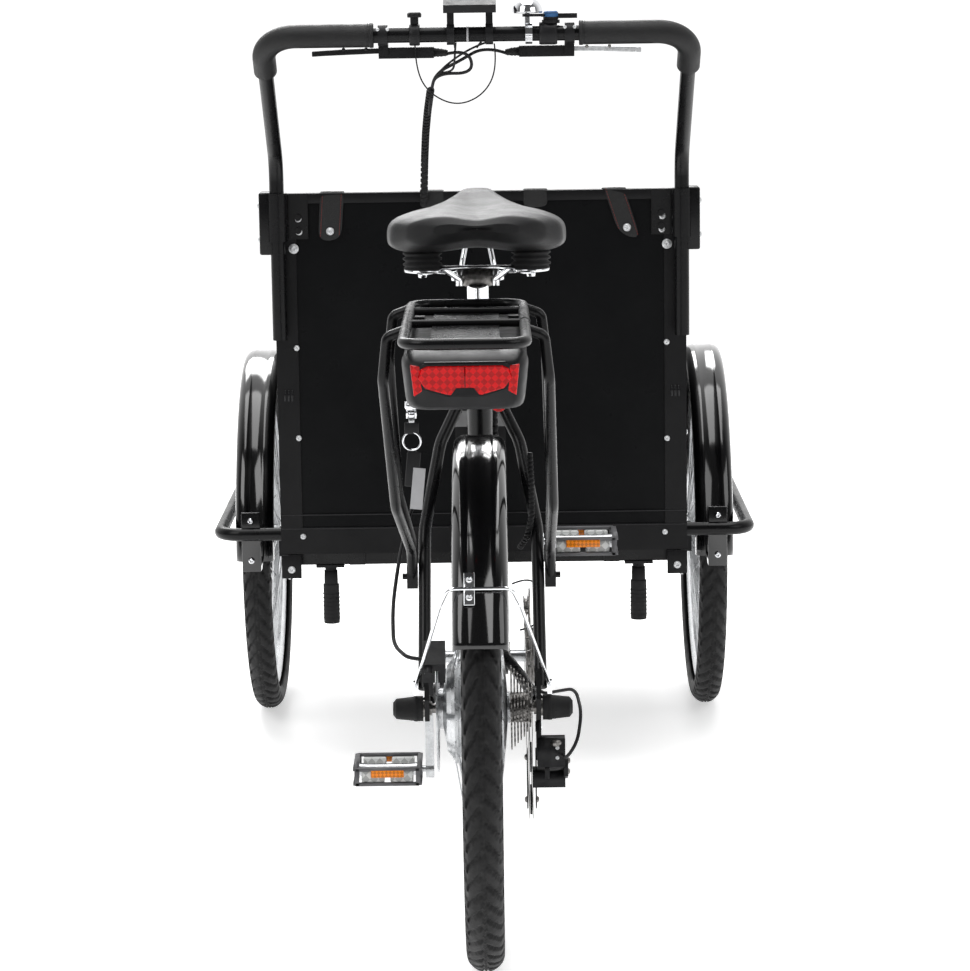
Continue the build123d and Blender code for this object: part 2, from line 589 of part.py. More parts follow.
def battery():
    low, high = RACK_Y - BATTERY_HALF, RACK_Y + BATTERY_HALF
    case = block((BATTERY_REAR, low, BATTERY_LOW), (BATTERY_FRONT, high, BATTERY_HIGH))
    case = fillet(case.edges().filter_by(Axis.X), 14)
    lamp = (BATTERY_REAR - 8, BATTERY_REAR)
    middle = (BATTERY_LOW + BATTERY_HIGH) / 2
    outline = [(-53, -2), (-40, 16), (40, 16), (53, -2), (40, -16), (-40, -16)]
    points = [(lamp[0], RACK_Y + y, middle + z + 2) for y, z in outline]
    save("tail_light", extrude(make_face(Polyline(*points, close=True)), 8, dir=(1, 0, 0)))
    key_x, key_y = -250, RACK_Y + BATTERY_HALF - 10
    pin_z = BATTERY_LOW - 14
    lock = rod((key_x, key_y, BATTERY_LOW + 2), (key_x, key_y, BATTERY_LOW - 8), 8)
    for side in SIDES.values():
        near, far = sorted((key_y + side * 4, key_y + side * 6))
        lock += block((key_x - 3, near, pin_z - 4), (key_x + 3, far, BATTERY_LOW - 7))
    lock += rod((key_x, key_y - 6, pin_z), (key_x, key_y + 6, pin_z), KEY_PIN)
    save("battery_case", case + lock)
    eye_bore = rod((key_x, key_y - 4, pin_z), (key_x, key_y + 4, pin_z), KEY_PIN + 0.1)
    key = rod((key_x, key_y - 3.8, pin_z), (key_x, key_y + 3.8, pin_z), KEY_PIN + 1.8)
    key += block((key_x - 1, key_y - 3.8, BATTERY_LOW - 34), (key_x + 1, key_y + 3.8, pin_z))
    key -= eye_bore
    bow = ring((key_x, key_y, BATTERY_LOW - 45), (1, 0, 0), 13, 9, 2)
    tag = block((key_x - 1, key_y - 11, BATTERY_LOW - 124), (key_x + 1, key_y + 2, BATTERY_LOW - 56))
    save("battery_key", key + bow + tag)


def saddle():
    post = rod(seat_point(520), seat_point(852), SEAT_POST_RADIUS)
    save("seat_post", post)
    top = seat_point(852)
    rails = []
    for y in (22, -22):
        points = [(45, y * 2, 884), (top[0] - 60, y, 862), (top[0] + 70, y, 862), (285, y * 0.6, 915)]
        rails.append(bent(points, 3.5, (30, 30)))
    clamp = block((top[0] - 22, -30, 846), (top[0] + 22, 30, 874))
    springs = []
    for y in (68, -68):
        springs.append(rod((52, y, 862), (52, y, 907.6), 21))
        springs.append(block((36, y - 26, 858), (70, y + 26, 862)))
        springs.append(block((38, min(y, y * 0.4), 878), (52, max(y, y * 0.4), 886)))
    frame = clamp
    for piece in rails + springs:
        frame += piece
    frame += block((270, -18, 908), (296, 18, 925.2))
    cover = saddle_cover()
    frame -= rod(seat_point(700), seat_point(852), SEAT_POST_RADIUS)
    save("saddle_frame", frame - cover)
    save("saddle_cover", cover)


def saddle_cover():
    """A wide sprung saddle: loft from the broad rear to the narrow nose."""
    rows = ((8, 62, 926, 950), (30, 104, 908, 957), (90, 108, 908, 958), (160, 78, 912, 958),
        (230, 40, 920, 961))
    rows += ((290, 24, 926, 961), (306, 14, 932, 955))
    faces = []
    for x, half, low, high in rows:
        plane = Plane(origin=(x, 0, (low + high) / 2), x_dir=(0, 1, 0), z_dir=(1, 0, 0))
        faces.append(plane * RectangleRounded(half * 2, high - low, (high - low) * 0.35))
    return loft(faces, ruled=True)


def side_outline():
    slope_x = BOX_REAR + 30
    return [(BOX_REAR, BOX_LOW), (BOX_FRONT, BOX_LOW), (BOX_FRONT, BOX_FRONT_TOP),
        (slope_x, BOX_TOP), (BOX_REAR, BOX_TOP)]


def cargo_box():
    edge = ANGLE_WALL
    low, top = BOX_LOW + ANGLE_WALL, BOX_TOP - ANGLE_WALL
    half = BOX_HALF - edge
    rear = block((BOX_REAR + edge, -half, low), (BOX_REAR + edge + PANEL, half, top))
    front = block((BOX_FRONT - edge - PANEL, -half, low),
        (BOX_FRONT - edge, half, BOX_FRONT_TOP - ANGLE_WALL * 1.5))
    save("rear_panel", rear)
    (x1, z1), (x2, z2) = side_outline()[2], side_outline()[3]
    fall = (z2 - z1) / (x2 - x1)
    inner = (BOX_REAR + edge + PANEL, BOX_FRONT - edge - PANEL)
    outline = [(inner[0], low), (inner[1], low), (inner[1], z1 + fall * (inner[1] - x1) - ANGLE_WALL * 2.4)]
    outline += [(x2 - 5, BOX_TOP - ANGLE_WALL * 2), (inner[0], BOX_TOP - ANGLE_WALL * 2)]
    boards = [front]
    for side in SIDES.values():
        near, far = sorted((side * half, side * (half - PANEL)))
        boards.append(across(outline, near, far))
    inside = half - PANEL
    boards.append(block((inner[0], -inside, low), (inner[1], inside, low + PANEL)))
    save("box_panels", *boards)
    save("box_frame", box_frame())
    return inner, inside


def box_frame():
    """Corner angles, bottom band and capping rail round the boards."""
    outer = across(side_outline(), -BOX_HALF, BOX_HALF)
    wall = ANGLE_WALL
    hollow_low = BOX_LOW - 1
    (x1, z1), (x2, z2) = side_outline()[2], side_outline()[3]
    fall = (z2 - z1) / (x2 - x1)
    inside = [(BOX_REAR + wall, hollow_low), (BOX_FRONT - wall, hollow_low)]
    inside += [(BOX_FRONT - wall, BOX_TOP + 99), (BOX_REAR + wall, BOX_TOP + 99)]
    shell = outer - across(inside, wall - BOX_HALF, BOX_HALF - wall)
    keep = ANGLE_LEG
    # One window in each wall leaves the corner angles, the band and the rail.
    window_low = BOX_LOW + BAND_HIGH
    window_top = BOX_TOP - RAIL_HIGH
    shell -= block((BOX_REAR - 5, keep - BOX_HALF, window_low),
        (BOX_REAR + 20, BOX_HALF - keep, window_top))
    front_top = BOX_FRONT_TOP - RAIL_HIGH
    shell -= block((BOX_FRONT - 20, keep - BOX_HALF, window_low),
        (BOX_FRONT + 5, BOX_HALF - keep, front_top))
    near, far = BOX_REAR + keep, BOX_FRONT - keep
    near_top = z1 + fall * (near - x1) - RAIL_HIGH
    far_top = z1 + fall * (far - x1) - RAIL_HIGH
    opening = [(near, window_low), (far, window_low), (far, far_top), (near, near_top)]
    shell -= across(opening, -BOX_HALF - 5, BOX_HALF + 5)
    lip = PANEL + wall * 2
    tops = []
    tops.append(block((BOX_REAR, -BOX_HALF, BOX_TOP - wall), (BOX_REAR + lip, BOX_HALF, BOX_TOP)))
    tops.append(block((BOX_FRONT - lip, -BOX_HALF, BOX_FRONT_TOP - wall),
        (BOX_FRONT, BOX_HALF, BOX_FRONT_TOP)))
    cap = [(x1, z1), (x2, z2), (BOX_REAR, z2), (BOX_REAR, z2 - wall), (x2 - 1, z2 - wall), (x1, z1 - wall)]
    for side in SIDES.values():
        near_y, far_y = sorted((side * BOX_HALF, side * (BOX_HALF - lip)))
        tops.append(across(cap, near_y, far_y))
    base = block((BOX_REAR, -BOX_HALF, BOX_LOW), (BOX_FRONT, BOX_HALF, BOX_LOW + wall))
    base -= block((BOX_REAR + 30, 30 - BOX_HALF, BOX_LOW - 1), (BOX_FRONT - 30, BOX_HALF - 30, BOX_LOW + 9))
    for piece in tops + [base]:
        shell += piece
    return shell


def bench(inner, inside):
    """A bench board on cleats, its seat and back pads, and the straps that hang the back pad."""
    board_low = SEAT_HIGH - CUSHION - 12
    board = block((inner[0] + 0.1, -inside + 0.1, board_low),
        (inner[0] + 330, inside - 0.1, board_low + 12))
    for side in SIDES.values():
        near, far = sorted((side * (inside - 0.1), side * (inside - 20)))
        board += block((inner[0] + 0.1, near, board_low - 30), (inner[0] + 330, far, board_low))
    board += block((inner[0] + 310, 0.1 - inside, BOX_LOW + ANGLE_WALL + PANEL + 0.1),
        (inner[0] + 322, inside - 0.1, board_low))
    save("bench", board)
    seat = block((inner[0] + 8, 8 - inside, board_low + 12.3), (inner[0] + 330, inside - 8, SEAT_HIGH))
    save("seat_cushion", fillet(seat.edges().filter_by(Axis.Y), 12))
    back_start = BOX_REAR + PANEL + ANGLE_WALL * 2 + 3.0
    back = block((back_start, 15 - inside, SEAT_HIGH + 20),
        (back_start + CUSHION, inside - 15, BOX_TOP - 75))
    save("back_cushion", fillet(back.edges().filter_by(Axis.Y), 12))
    save("cushion_straps", *[strap(y, lean) for y, lean in STRAPS])


def strap(y, lean):
    """A strap over the rear rail, buttoned outside, sewn to the back pad inside."""
    thick = 2.2
    rail = PANEL + ANGLE_WALL * 2
    start, end = BOX_REAR - thick - 0.3, BOX_REAR + rail + 0.3
    over = BOX_TOP + 0.3
    hang = block((start, y - STRAP_WIDTH / 2, over), (end + thick, y + STRAP_WIDTH / 2, over + thick))
    drop = STRAP_DROP if lean else 26
    outside = Pos((start + thick / 2), y, over + thick) * Rot(lean, 0, 0)
    outside = outside * Pos(0, 0, -drop / 2) * Box(thick, STRAP_WIDTH, drop)
    hang += outside - block((start - 9, y - 99, over + thick), (end, y + 99, over + 99))
    if lean:
        snap_z = over - STRAP_DROP + 14
        shift = math.tan(math.radians(lean)) * (STRAP_DROP - 14)
        hang += rod((start + 0.2, y + shift, snap_z), (start - 3, y + shift, snap_z), 7)
    return hang + block((end, y - STRAP_WIDTH / 2, BOX_TOP - 110),
        (end + thick, y + STRAP_WIDTH / 2, over + thick))


def subframe():
    """The steel frame under the box: runners, axle beam, steering yoke and king pin."""
    low, high = BOX_LOW - 22, BOX_LOW
    whole = None
    pieces = [block((BOX_REAR + 20, y - 12, low), (BOX_FRONT - 20, y + 12, high)) for y in (-200, 200)]
    for x in (BOX_REAR + 40, WHEELBASE, BOX_FRONT - 60):
        pieces.append(block((x - 15, -BOX_HALF + 8, low), (x + 15, BOX_HALF - 8, high)))
    for side in SIDES.values():
        y = side * (BOX_HALF - 22)
        pieces.append(block((WHEELBASE - 22, y - 14, FRONT_RADIUS - 22), (WHEELBASE + 22, y + 14, low)))
        end = side * (TRACK / 2 + 38)
        pieces.append(rod((WHEELBASE, y, FRONT_RADIUS), (WHEELBASE, end, FRONT_RADIUS), AXLE_RADIUS))
        hub_end = side * (TRACK / 2 - FRONT_ROTOR_INSET + 0.7)
        pieces.append(rod((WHEELBASE, y, FRONT_RADIUS), (WHEELBASE, hub_end, FRONT_RADIUS), 9))
        pieces.append(ring((WHEELBASE, side * (TRACK / 2 + 36), FRONT_RADIUS), (0, 1, 0), 10, 5, 10))
    pieces.append(block((WHEELBASE - 15, -BOX_HALF + 22, FRONT_RADIUS - 15),
        (WHEELBASE + 15, BOX_HALF - 22, FRONT_RADIUS + 15)))
    upper = PIVOT_HIGH_Z + 0.5
    pieces.append(block((PIVOT_X - 32, -212, upper), (WHEELBASE, 212, high)))
    lower = PIVOT_LOW_Z - 0.5
    pieces.append(block((PIVOT_X - 32, -32, lower - 7), (WHEELBASE, 32, lower)))
    pieces.append(block((WHEELBASE - 15, -32, lower - 7), (WHEELBASE + 15, 32, FRONT_RADIUS)))
    pieces.append(rod((PIVOT_X, 0, lower - 20), (PIVOT_X, 0, high), KINGPIN_RADIUS))
    pieces.append(rod((PIVOT_X, 0, lower - 16), (PIVOT_X, 0, lower - 7), 14))
    for piece in pieces:
        whole = piece if whole is None else whole + piece
    save("front_subframe", whole)


def hoops():
    hoops_made, guards = [], []
    for side in SIDES.values():
        start = side * BOX_HALF
        out = side * (HOOP_HALF - HOOP_RADIUS)
        points = [(HOOP_REAR, start, HOOP_Z), (HOOP_REAR, out, HOOP_Z), (HOOP_FRONT, out, HOOP_Z),
            (HOOP_FRONT, start, HOOP_Z)]
        hoop = bent(points, HOOP_RADIUS, 32)
        for x in (HOOP_REAR, HOOP_FRONT):
            near, far = sorted((start, start + side * 4))
            hoop += block((x - 20, near, HOOP_Z - 16), (x + 20, far, HOOP_Z + 16))
        hoops_made.append(hoop)
        y = side * TRACK / 2
        guard = mudguard(WHEELBASE, y, FRONT_RADIUS, FRONT_RADIUS, FRONT_MUDGUARD_WIDTH, 28, 178)
        x = HOOP_REAR + HOOP_RADIUS
        plate = block((x + 0.1, y - 15, 312), (x + 3.1, y + 15, 400))
        inner = WHEELBASE - FRONT_RADIUS - MUDGUARD_GAP
        plate += block((x + 2, y - 15, 312), (inner - 0.5, y + 15, 332))
        front_x = HOOP_FRONT - HOOP_RADIUS
        plate_front = block((front_x - 3.1, y - 15, HOOP_Z - 20), (front_x - 0.1, y + 15, 475))
        reach = WHEELBASE + (FRONT_RADIUS + MUDGUARD_GAP) * math.cos(math.radians(31))
        plate_front += block((reach, y - 15, 470), (front_x - 0.1, y + 15, 475))
        guards.append(guard + plate + plate_front)
    save("wheel_hoops", *hoops_made)
    save("front_mudguards", *guards)


def box_fittings():
    legs = []
    for y in (243, -243):
        x = BOX_REAR + 40
        leg = rod((x, y, BOX_LOW - 22), (x, y, 236), 9) + rod((x, y, 296), (x, y, 234), 12.5)
        leg += block((x - 20, y - 22, BOX_LOW - 26), (x + 20, y + 22, BOX_LOW - 22))
        legs.append(leg)
    save("box_legs", *legs)
    sleeves, calipers = [], []
    for side in SIDES.values():
        y = side * BAR_HALF
        tube = ring((BAR_X, y, (SLEEVE_LOW + SLEEVE_HIGH) / 2), (0, 0, 1), SLEEVE_RADIUS,
            BAR_RADIUS + RUN_CLEARANCE, SLEEVE_HIGH - SLEEVE_LOW)
        near, far = sorted((y - side * 46, y + side * 22))
        plate = block((BOX_REAR - 3, near, SLEEVE_LOW + 2), (BOX_REAR, far, SLEEVE_HIGH - 2))
        plate -= rod((BAR_X, y, SLEEVE_LOW - 9), (BAR_X, y, SLEEVE_HIGH + 9), BAR_RADIUS + RUN_CLEARANCE)
        bolts = [rod((BOX_REAR - 7, y - side * 31, z), (BOX_REAR - 2, y - side * 31, z),
            5) for z in (859, 879)]
        sleeves.append(tube + plate + bolts[0] + bolts[1])
        calipers.append(front_caliper(side * (TRACK / 2 - FRONT_ROTOR_INSET), side))
    save("bar_sleeves", *sleeves)
    save("front_calipers", *calipers)


def front_caliper(y, side):
    """A caliper behind the disc, carried on a plate from the axle beam."""
    body = caliper(WHEELBASE, y, FRONT_RADIUS, -side, 180, arm=False)
    near, far = sorted((side * (BOX_HALF - 7.8), side * (BOX_HALF + 2.2)))
    arm = block((WHEELBASE - 88, near, FRONT_RADIUS - 12), (WHEELBASE + 14, far, FRONT_RADIUS + 12))
    return body + arm - rod((WHEELBASE, near, FRONT_RADIUS), (WHEELBASE, far, FRONT_RADIUS), 9.2)


def handlebar():
    knee = (BAR_X, BAR_HALF, BAR_KNEE_Z)
    points = [(BAR_X, BAR_HALF, BAR_FOOT_Z), knee, (BAR_TOP_X, BAR_HALF, BAR_TOP_Z)]
    points += [(BAR_TOP_X, -BAR_HALF, BAR_TOP_Z), (BAR_X, -BAR_HALF, BAR_KNEE_Z),
        (BAR_X, -BAR_HALF, BAR_FOOT_Z)]
    save("handlebar_tube", bent(points, BAR_RADIUS, (60, 48, 48, 60)))
    grips = []
    for side in SIDES.values():
        lean = Vector(BAR_X - BAR_TOP_X, 0, BAR_KNEE_Z - BAR_TOP_Z).normalized()
        corner = Vector(BAR_TOP_X, side * BAR_HALF, BAR_TOP_Z)
        line = [corner + lean * 78, corner, Vector(BAR_TOP_X, side * (BAR_HALF - GRIP_REACH), BAR_TOP_Z)]
        outer = bent([tuple(p) for p in line], GRIP_RADIUS, 48)
        longer = [corner + lean * 90, corner,
            Vector(BAR_TOP_X, side * (BAR_HALF - GRIP_REACH - 20), BAR_TOP_Z)]
        grips.append(outer - bent([tuple(p) for p in longer], BAR_RADIUS + 0.02, 48))
    save("grips", *grips)


def bar_clamp(y, width, thick=4.0):
    """A collar round the handlebar's cross tube."""
    return ring((BAR_TOP_X, y, BAR_TOP_Z), (0, 1, 0), BAR_RADIUS + thick, BAR_RADIUS + 0.02, width)


def brake_lever(name, side):
    """Clamp, lever body and reservoir, with the blade as a node of its own."""
    pivot = Vector(BAR_TOP_X + 34, side * LEVER_PIVOT_Y, BAR_TOP_Z - 26)
    body = bar_clamp(side * 135, 14)
    near, far = sorted((side * 128, side * 142))
    body += block((BAR_TOP_X + 9.5, near, BAR_TOP_Z - 30), (BAR_TOP_X + 30, far, BAR_TOP_Z - 8))
    near, far = sorted((side * 62, side * 142))
    body += block((BAR_TOP_X + 14, near, BAR_TOP_Z - 34), (BAR_TOP_X + 40, far, BAR_TOP_Z - 18))
    near, far = sorted((side * 112, side * 145))
    body -= block((BAR_TOP_X + 20, near, BAR_TOP_Z - 30), (BAR_TOP_X + 60, far, BAR_TOP_Z - 22))
    body -= rod((pivot.X, pivot.Y, pivot.Z - 30), (pivot.X, pivot.Y, pivot.Z + 30), 3)
    tail = side * 62
    body += rod((BAR_TOP_X + 27, tail, BAR_TOP_Z - 26), (BAR_TOP_X + 27, side * 44, BAR_TOP_Z - 27), 5)
    pin = rod((pivot.X, pivot.Y, pivot.Z - 8), (pivot.X, pivot.Y, pivot.Z + 8), 2.95)
    outline = [(pivot.X - 6, 118), (pivot.X + 6, 118), (BAR_TOP_X + 46, 150), (BAR_TOP_X + 54, LEVER_TIP_Y)]
    outline += [(BAR_TOP_X + 44, LEVER_TIP_Y), (BAR_TOP_X + 34, 150), (pivot.X - 6, 127)]
    blade = across_z([(x, side * y) for x, y in outline], pivot.Z - 3.6, pivot.Z + 3.6)
    save(f"brake_blade_{name}", blade + pin)
    return body


def across_z(points, low, high):
    """A plate with an outline in X and Y, from one height to another."""
    face = make_face(Polyline(*[(x, y, low) for x, y in points], close=True))
    return extrude(face, high - low, dir=(0, 0, 1))


def controls():
    """Display, bell, shifter and thumb control along the cross tube."""
    top = BAR_TOP_Z + BAR_RADIUS
    mount = bar_clamp(DISPLAY_Y + 25, 11) + bar_clamp(DISPLAY_Y - 31, 11)
    for y in (DISPLAY_Y + 25, DISPLAY_Y - 31):
        mount += block((BAR_TOP_X - 5, y - 5, top + 2), (BAR_TOP_X + 5, y + 5, top + 24))
    mount += block((BAR_TOP_X - 12, DISPLAY_Y - 36, top + 20), (BAR_TOP_X + 12, DISPLAY_Y + 30, top + 24))
    screen = Pos(BAR_TOP_X + 4, DISPLAY_Y - 3, top + 34) * Rot(0, -18, 0) * Box(56, 76, 12)
    screen += block((BAR_TOP_X - 9, DISPLAY_Y - 12, top + 24.1), (BAR_TOP_X + 9, DISPLAY_Y + 8, top + 32))
    save("display", mount, screen)
    base = bar_clamp(BELL_Y - 2, 10) + rod((BAR_TOP_X, BELL_Y, top + 1), (BAR_TOP_X, BELL_Y, top + 20), 4)
    foot = (Align.CENTER, Align.CENTER, Align.MIN)
    dome = Pos(BAR_TOP_X, BELL_Y, top + 18) * Sphere(22, arc_size1=0, arc_size2=90, align=foot)
    dome -= Pos(BAR_TOP_X, BELL_Y, top + 17) * Sphere(20.5, arc_size1=0, arc_size2=90, align=foot)
    save("bell", base, dome + rod((BAR_TOP_X, BELL_Y, top + 20.1), (BAR_TOP_X, BELL_Y, top + 39), 3))
    lever = block((BAR_TOP_X - 22, BELL_Y - 24, top + 12.5), (BAR_TOP_X - 4.5, BELL_Y - 20, top + 17))
    lever += ring((BAR_TOP_X, BELL_Y, top + 14.8), (0, 0, 1), 7, 4.05, 4)
    lever += block((BAR_TOP_X - 7, BELL_Y - 23, top + 12.8), (BAR_TOP_X - 4.8, BELL_Y - 2, top + 16.8))
    save("bell_lever", lever)
    body = bar_clamp(SHIFTER_Y, 16, 5) + rod((BAR_TOP_X, SHIFTER_Y, top + 3),
        (BAR_TOP_X, SHIFTER_Y, top + 8), 13)
    body += rod((BAR_TOP_X, SHIFTER_Y, top + 8), (BAR_TOP_X, SHIFTER_Y, top + 20), 3)
    arm = ring((BAR_TOP_X, SHIFTER_Y, top + 13.2), (0, 0, 1), 11, 3.05, 10)
    arm += block((BAR_TOP_X - 4, SHIFTER_Y - 38, top + 10), (BAR_TOP_X + 5, SHIFTER_Y - 10, top + 17))
    save("shift_lever", arm)
    base = bar_clamp(THUMB_Y, 12) + rod((BAR_TOP_X, THUMB_Y, top + 2), (BAR_TOP_X, THUMB_Y, top + 12), 4)
    save("control_clamps", body, base)
    knob = rod((BAR_TOP_X, THUMB_Y, top + 14.2), (BAR_TOP_X, THUMB_Y, top + 20), 9.5)
    knob += ring((BAR_TOP_X, THUMB_Y, top + 9.2), (0, 0, 1), 6, 4.05, 10)
    knob += rod((BAR_TOP_X, THUMB_Y, top + 12.1), (BAR_TOP_X, THUMB_Y, top + 15), 6)
    save("thumb_control", knob)


def electrics():
    """Controller behind the seat tube's lower half, and its bracket."""
    z = 560
    lean = math.radians(SEAT_TUBE_LEAN)
    normal = Vector(math.cos(lean), 0, math.sin(lean))
    centre = Vector(*seat_point(z)) + normal * (SEAT_TUBE_RADIUS + 24.3)
    case = Pos(*centre) * Rot(0, -SEAT_TUBE_LEAN, 0) * Box(40, 68, 170)
    foot = Pos(*(Vector(*seat_point(z)) + normal * (SEAT_TUBE_RADIUS + 2.2))) * Rot(0,
        -SEAT_TUBE_LEAN, 0) * Box(4, 26, 120)
    save("controller_box", case + foot)


def cables():
    """Held cables: brake hose to the rear caliper and shift housing to the derailleur."""
    hose = bent(REAR_HOSE, 2.5, hose_radii(REAR_HOSE))
    save("rear_cables", hose, bent(SHIFT_HOUSING, 2.2, hose_radii(SHIFT_HOUSING)))
    save("bar_harness", bent(BAR_HARNESS, 5.0, hose_radii(BAR_HARNESS)))


REAR_HOSE = [(165, 76, 590), (150, 94, 552), (108, 106, 505), (56, 114, 452), (6, 112, 412),
    (-28, 94, 404), (-32, 75.6, 402)]
SHIFT_HOUSING = [(150, -72.9, 317.6), (110, -80, 322), (62, -98, 337), (20, -118, 350), (-30, -124, 330)]
SHIFT_HOUSING += [(-50, -118, 298), (-42, -104, 274), (-14.6, -100, 272)]
BAR_HARNESS = [(BAR_TOP_X + 29.0, 56, 1124.9), (BAR_TOP_X + 100, 72, 1060),
    (BAR_TOP_X + 170, 80, 1010), (929, 84, 960), (936, 84, 925)]


def hose_radii(points):
    """As large a bend at each point as its two runs allow."""
    radii = []
    for before, here, after in zip(points, points[1:], points[2:]):
        first = Vector(*here) - Vector(*before)
        second = Vector(*after) - Vector(*here)
        half_turn = math.radians(first.get_angle(second)) / 2
        radii.append(0.45 * min(first.length, second.length) / math.tan(half_turn))
    return radii


rear_wheel()
freewheel()
for side_name, side_sign in SIDES.items():
    front_wheel(side_name, side_sign)
rear_frame()
save("chain", chain())
save("derailleur", derailleur())
save("jockey_upper", jockey(UPPER_PULLEY))
save("jockey_lower", jockey(LOWER_PULLEY))
crankset()
carrier()
battery()
saddle()
bench(*cargo_box())
subframe()
hoops()
box_fittings()
handlebar()
save("brake_bodies", *[brake_lever(side_name, side_sign) for side_name, side_sign in SIDES.items()])
controls()
electrics()
cables()
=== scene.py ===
import json
import math

import bmesh
import bpy
from mathutils import Matrix, Vector


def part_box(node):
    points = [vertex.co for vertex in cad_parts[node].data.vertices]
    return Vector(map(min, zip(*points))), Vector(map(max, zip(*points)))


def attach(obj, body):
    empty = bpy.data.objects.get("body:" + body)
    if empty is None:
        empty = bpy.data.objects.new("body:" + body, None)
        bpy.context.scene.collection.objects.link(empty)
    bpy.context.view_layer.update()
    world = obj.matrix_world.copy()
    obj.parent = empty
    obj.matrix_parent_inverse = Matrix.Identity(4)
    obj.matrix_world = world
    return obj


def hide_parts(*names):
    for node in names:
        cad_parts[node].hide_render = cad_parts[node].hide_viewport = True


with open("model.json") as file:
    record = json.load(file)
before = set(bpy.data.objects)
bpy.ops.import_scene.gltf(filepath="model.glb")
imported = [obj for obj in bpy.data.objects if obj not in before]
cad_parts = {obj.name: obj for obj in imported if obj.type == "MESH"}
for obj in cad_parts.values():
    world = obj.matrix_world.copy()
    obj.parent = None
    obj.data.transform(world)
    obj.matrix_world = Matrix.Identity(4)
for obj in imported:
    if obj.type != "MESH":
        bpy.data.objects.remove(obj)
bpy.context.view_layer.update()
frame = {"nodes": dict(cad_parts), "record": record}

NODES = frame["nodes"]
MM = 0.001
SIDES = (("left", 1), ("right", -1))

# Places that the looks share with the frame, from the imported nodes.
REAR_LOW, REAR_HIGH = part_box("rear_tyre")
REAR_RADIUS = (REAR_HIGH.z - REAR_LOW.z) / 2
AXLE = Vector(((REAR_LOW.x + REAR_HIGH.x) / 2, 0, REAR_RADIUS))
WHEEL_LOW, WHEEL_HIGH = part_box("front_tyre_left")
FRONT_RADIUS = (WHEEL_HIGH.z - WHEEL_LOW.z) / 2
FRONT_X = (WHEEL_LOW.x + WHEEL_HIGH.x) / 2
HALF_TRACK = (WHEEL_LOW.y + WHEEL_HIGH.y) / 2
BOX_LOW, BOX_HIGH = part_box("box_frame")


def at(x, y, z):
    """A point given in millimetres from the rear axle line and the ground, in metres."""
    return Vector((AXLE.x + x * MM, y * MM, z * MM))


# ---------------------------------------------------------------- materials


class Nodes:
    """A short way to write a material's node tree."""

    def __init__(self, name, base, roughness, metallic=0.0, **extra):
        self.material = bpy.data.materials.new(name)
        self.material.use_nodes = True
        self.tree = self.material.node_tree
        self.shader = self.tree.nodes["Principled BSDF"]
        self.set(self.shader, "Base Color", (*base, 1))
        self.set(self.shader, "Roughness", roughness)
        self.set(self.shader, "Metallic", metallic)
        for socket, value in extra.items():
            self.set(self.shader, socket.replace("_", " "), value)
        self.place = self.tree.nodes.new("ShaderNodeTexCoord").outputs["Object"]

    def set(self, node, socket, value):
        node.inputs[socket].default_value = value

    def add(self, kind, links=(), **values):
        node = self.tree.nodes.new(kind)
        for name, value in values.items():
            setattr(node, name, value)
        for socket, source in links:
            if isinstance(source, (int, float, tuple)):
                node.inputs[socket].default_value = source
            else:
                self.tree.links.new(source, node.inputs[socket])
        return node

    def noise(self, scale, detail=4.0, rough=0.55):
        links = [("Vector", self.place), ("Scale", scale), ("Detail", detail), ("Roughness", rough)]
        return self.add("ShaderNodeTexNoise", links).outputs["Fac"]

    def cells(self, scale, feature="F1"):
        node = self.add("ShaderNodeTexVoronoi", [("Vector", self.place), ("Scale", scale)],
            feature=feature)
        return node.outputs["Distance"]

    def ramp(self, source, low, high, first, last):
        links = [("Value", source), ("From Min", low), ("From Max", high), ("To Min", first),
            ("To Max", last)]
        return self.add("ShaderNodeMapRange", links).outputs["Result"]

    def mix(self, share, first, last):
        node = self.add("ShaderNodeMix", data_type="RGBA")
        for place, value in ((0, share), (6, first), (7, last)):
            socket = node.inputs[place]
            if isinstance(value, (int, float)):
                socket.default_value = value
            elif isinstance(value, tuple):
                socket.default_value = (*value, 1)
            else:
                self.tree.links.new(value, socket)
        return node.outputs[2]

    def link(self, source, socket):
        self.tree.links.new(source, self.shader.inputs[socket])

    def bump(self, height, distance, strength=1.0):
        links = [("Height", height), ("Distance", distance), ("Strength", strength)]
        self.link(self.add("ShaderNodeBump", links).outputs["Normal"], "Normal")


def finish_layer(made, base, tone, scale, rough, bump_scale, bump_depth):
    """Slight colour variation, uneven gloss and a fine surface texture."""
    made.link(made.mix(made.ramp(made.noise(scale), 0.35, 0.7, 0.0, 1.0), base, tone), "Base Color")
    made.link(made.ramp(made.noise(scale * 2.7, 6), 0.3, 0.7, *rough), "Roughness")
    made.bump(made.noise(bump_scale, 3), bump_depth)
    return made


def paint(name, base, tone, rough, orange=0.00006, coat=0.25, shine=0.3):
    made = Nodes(name, base, 0.4, Coat_Weight=coat, Coat_Roughness=0.12, Specular_IOR_Level=shine)
    return finish_layer(made, base, tone, 9, rough, 900, orange).material


def bare_metal(name, base, tone, rough, scale=60):
    made = Nodes(name, base, 0.3, 1.0)
    return finish_layer(made, base, tone, scale, rough, 1400, 0.00003).material


def plated(name, base, tone, rough):
    """Dull zinc plating, brighter than a mirror when it faces a dark room."""
    made = Nodes(name, base, 0.4, 0.35)
    return finish_layer(made, base, tone, 150, rough, 1600, 0.00003).material


def moulded(name, base, tone, rough, grain=1500, depth=0.00006):
    made = Nodes(name, base, 0.5, Specular_IOR_Level=0.22)
    return finish_layer(made, base, tone, 25, rough, grain, depth).material


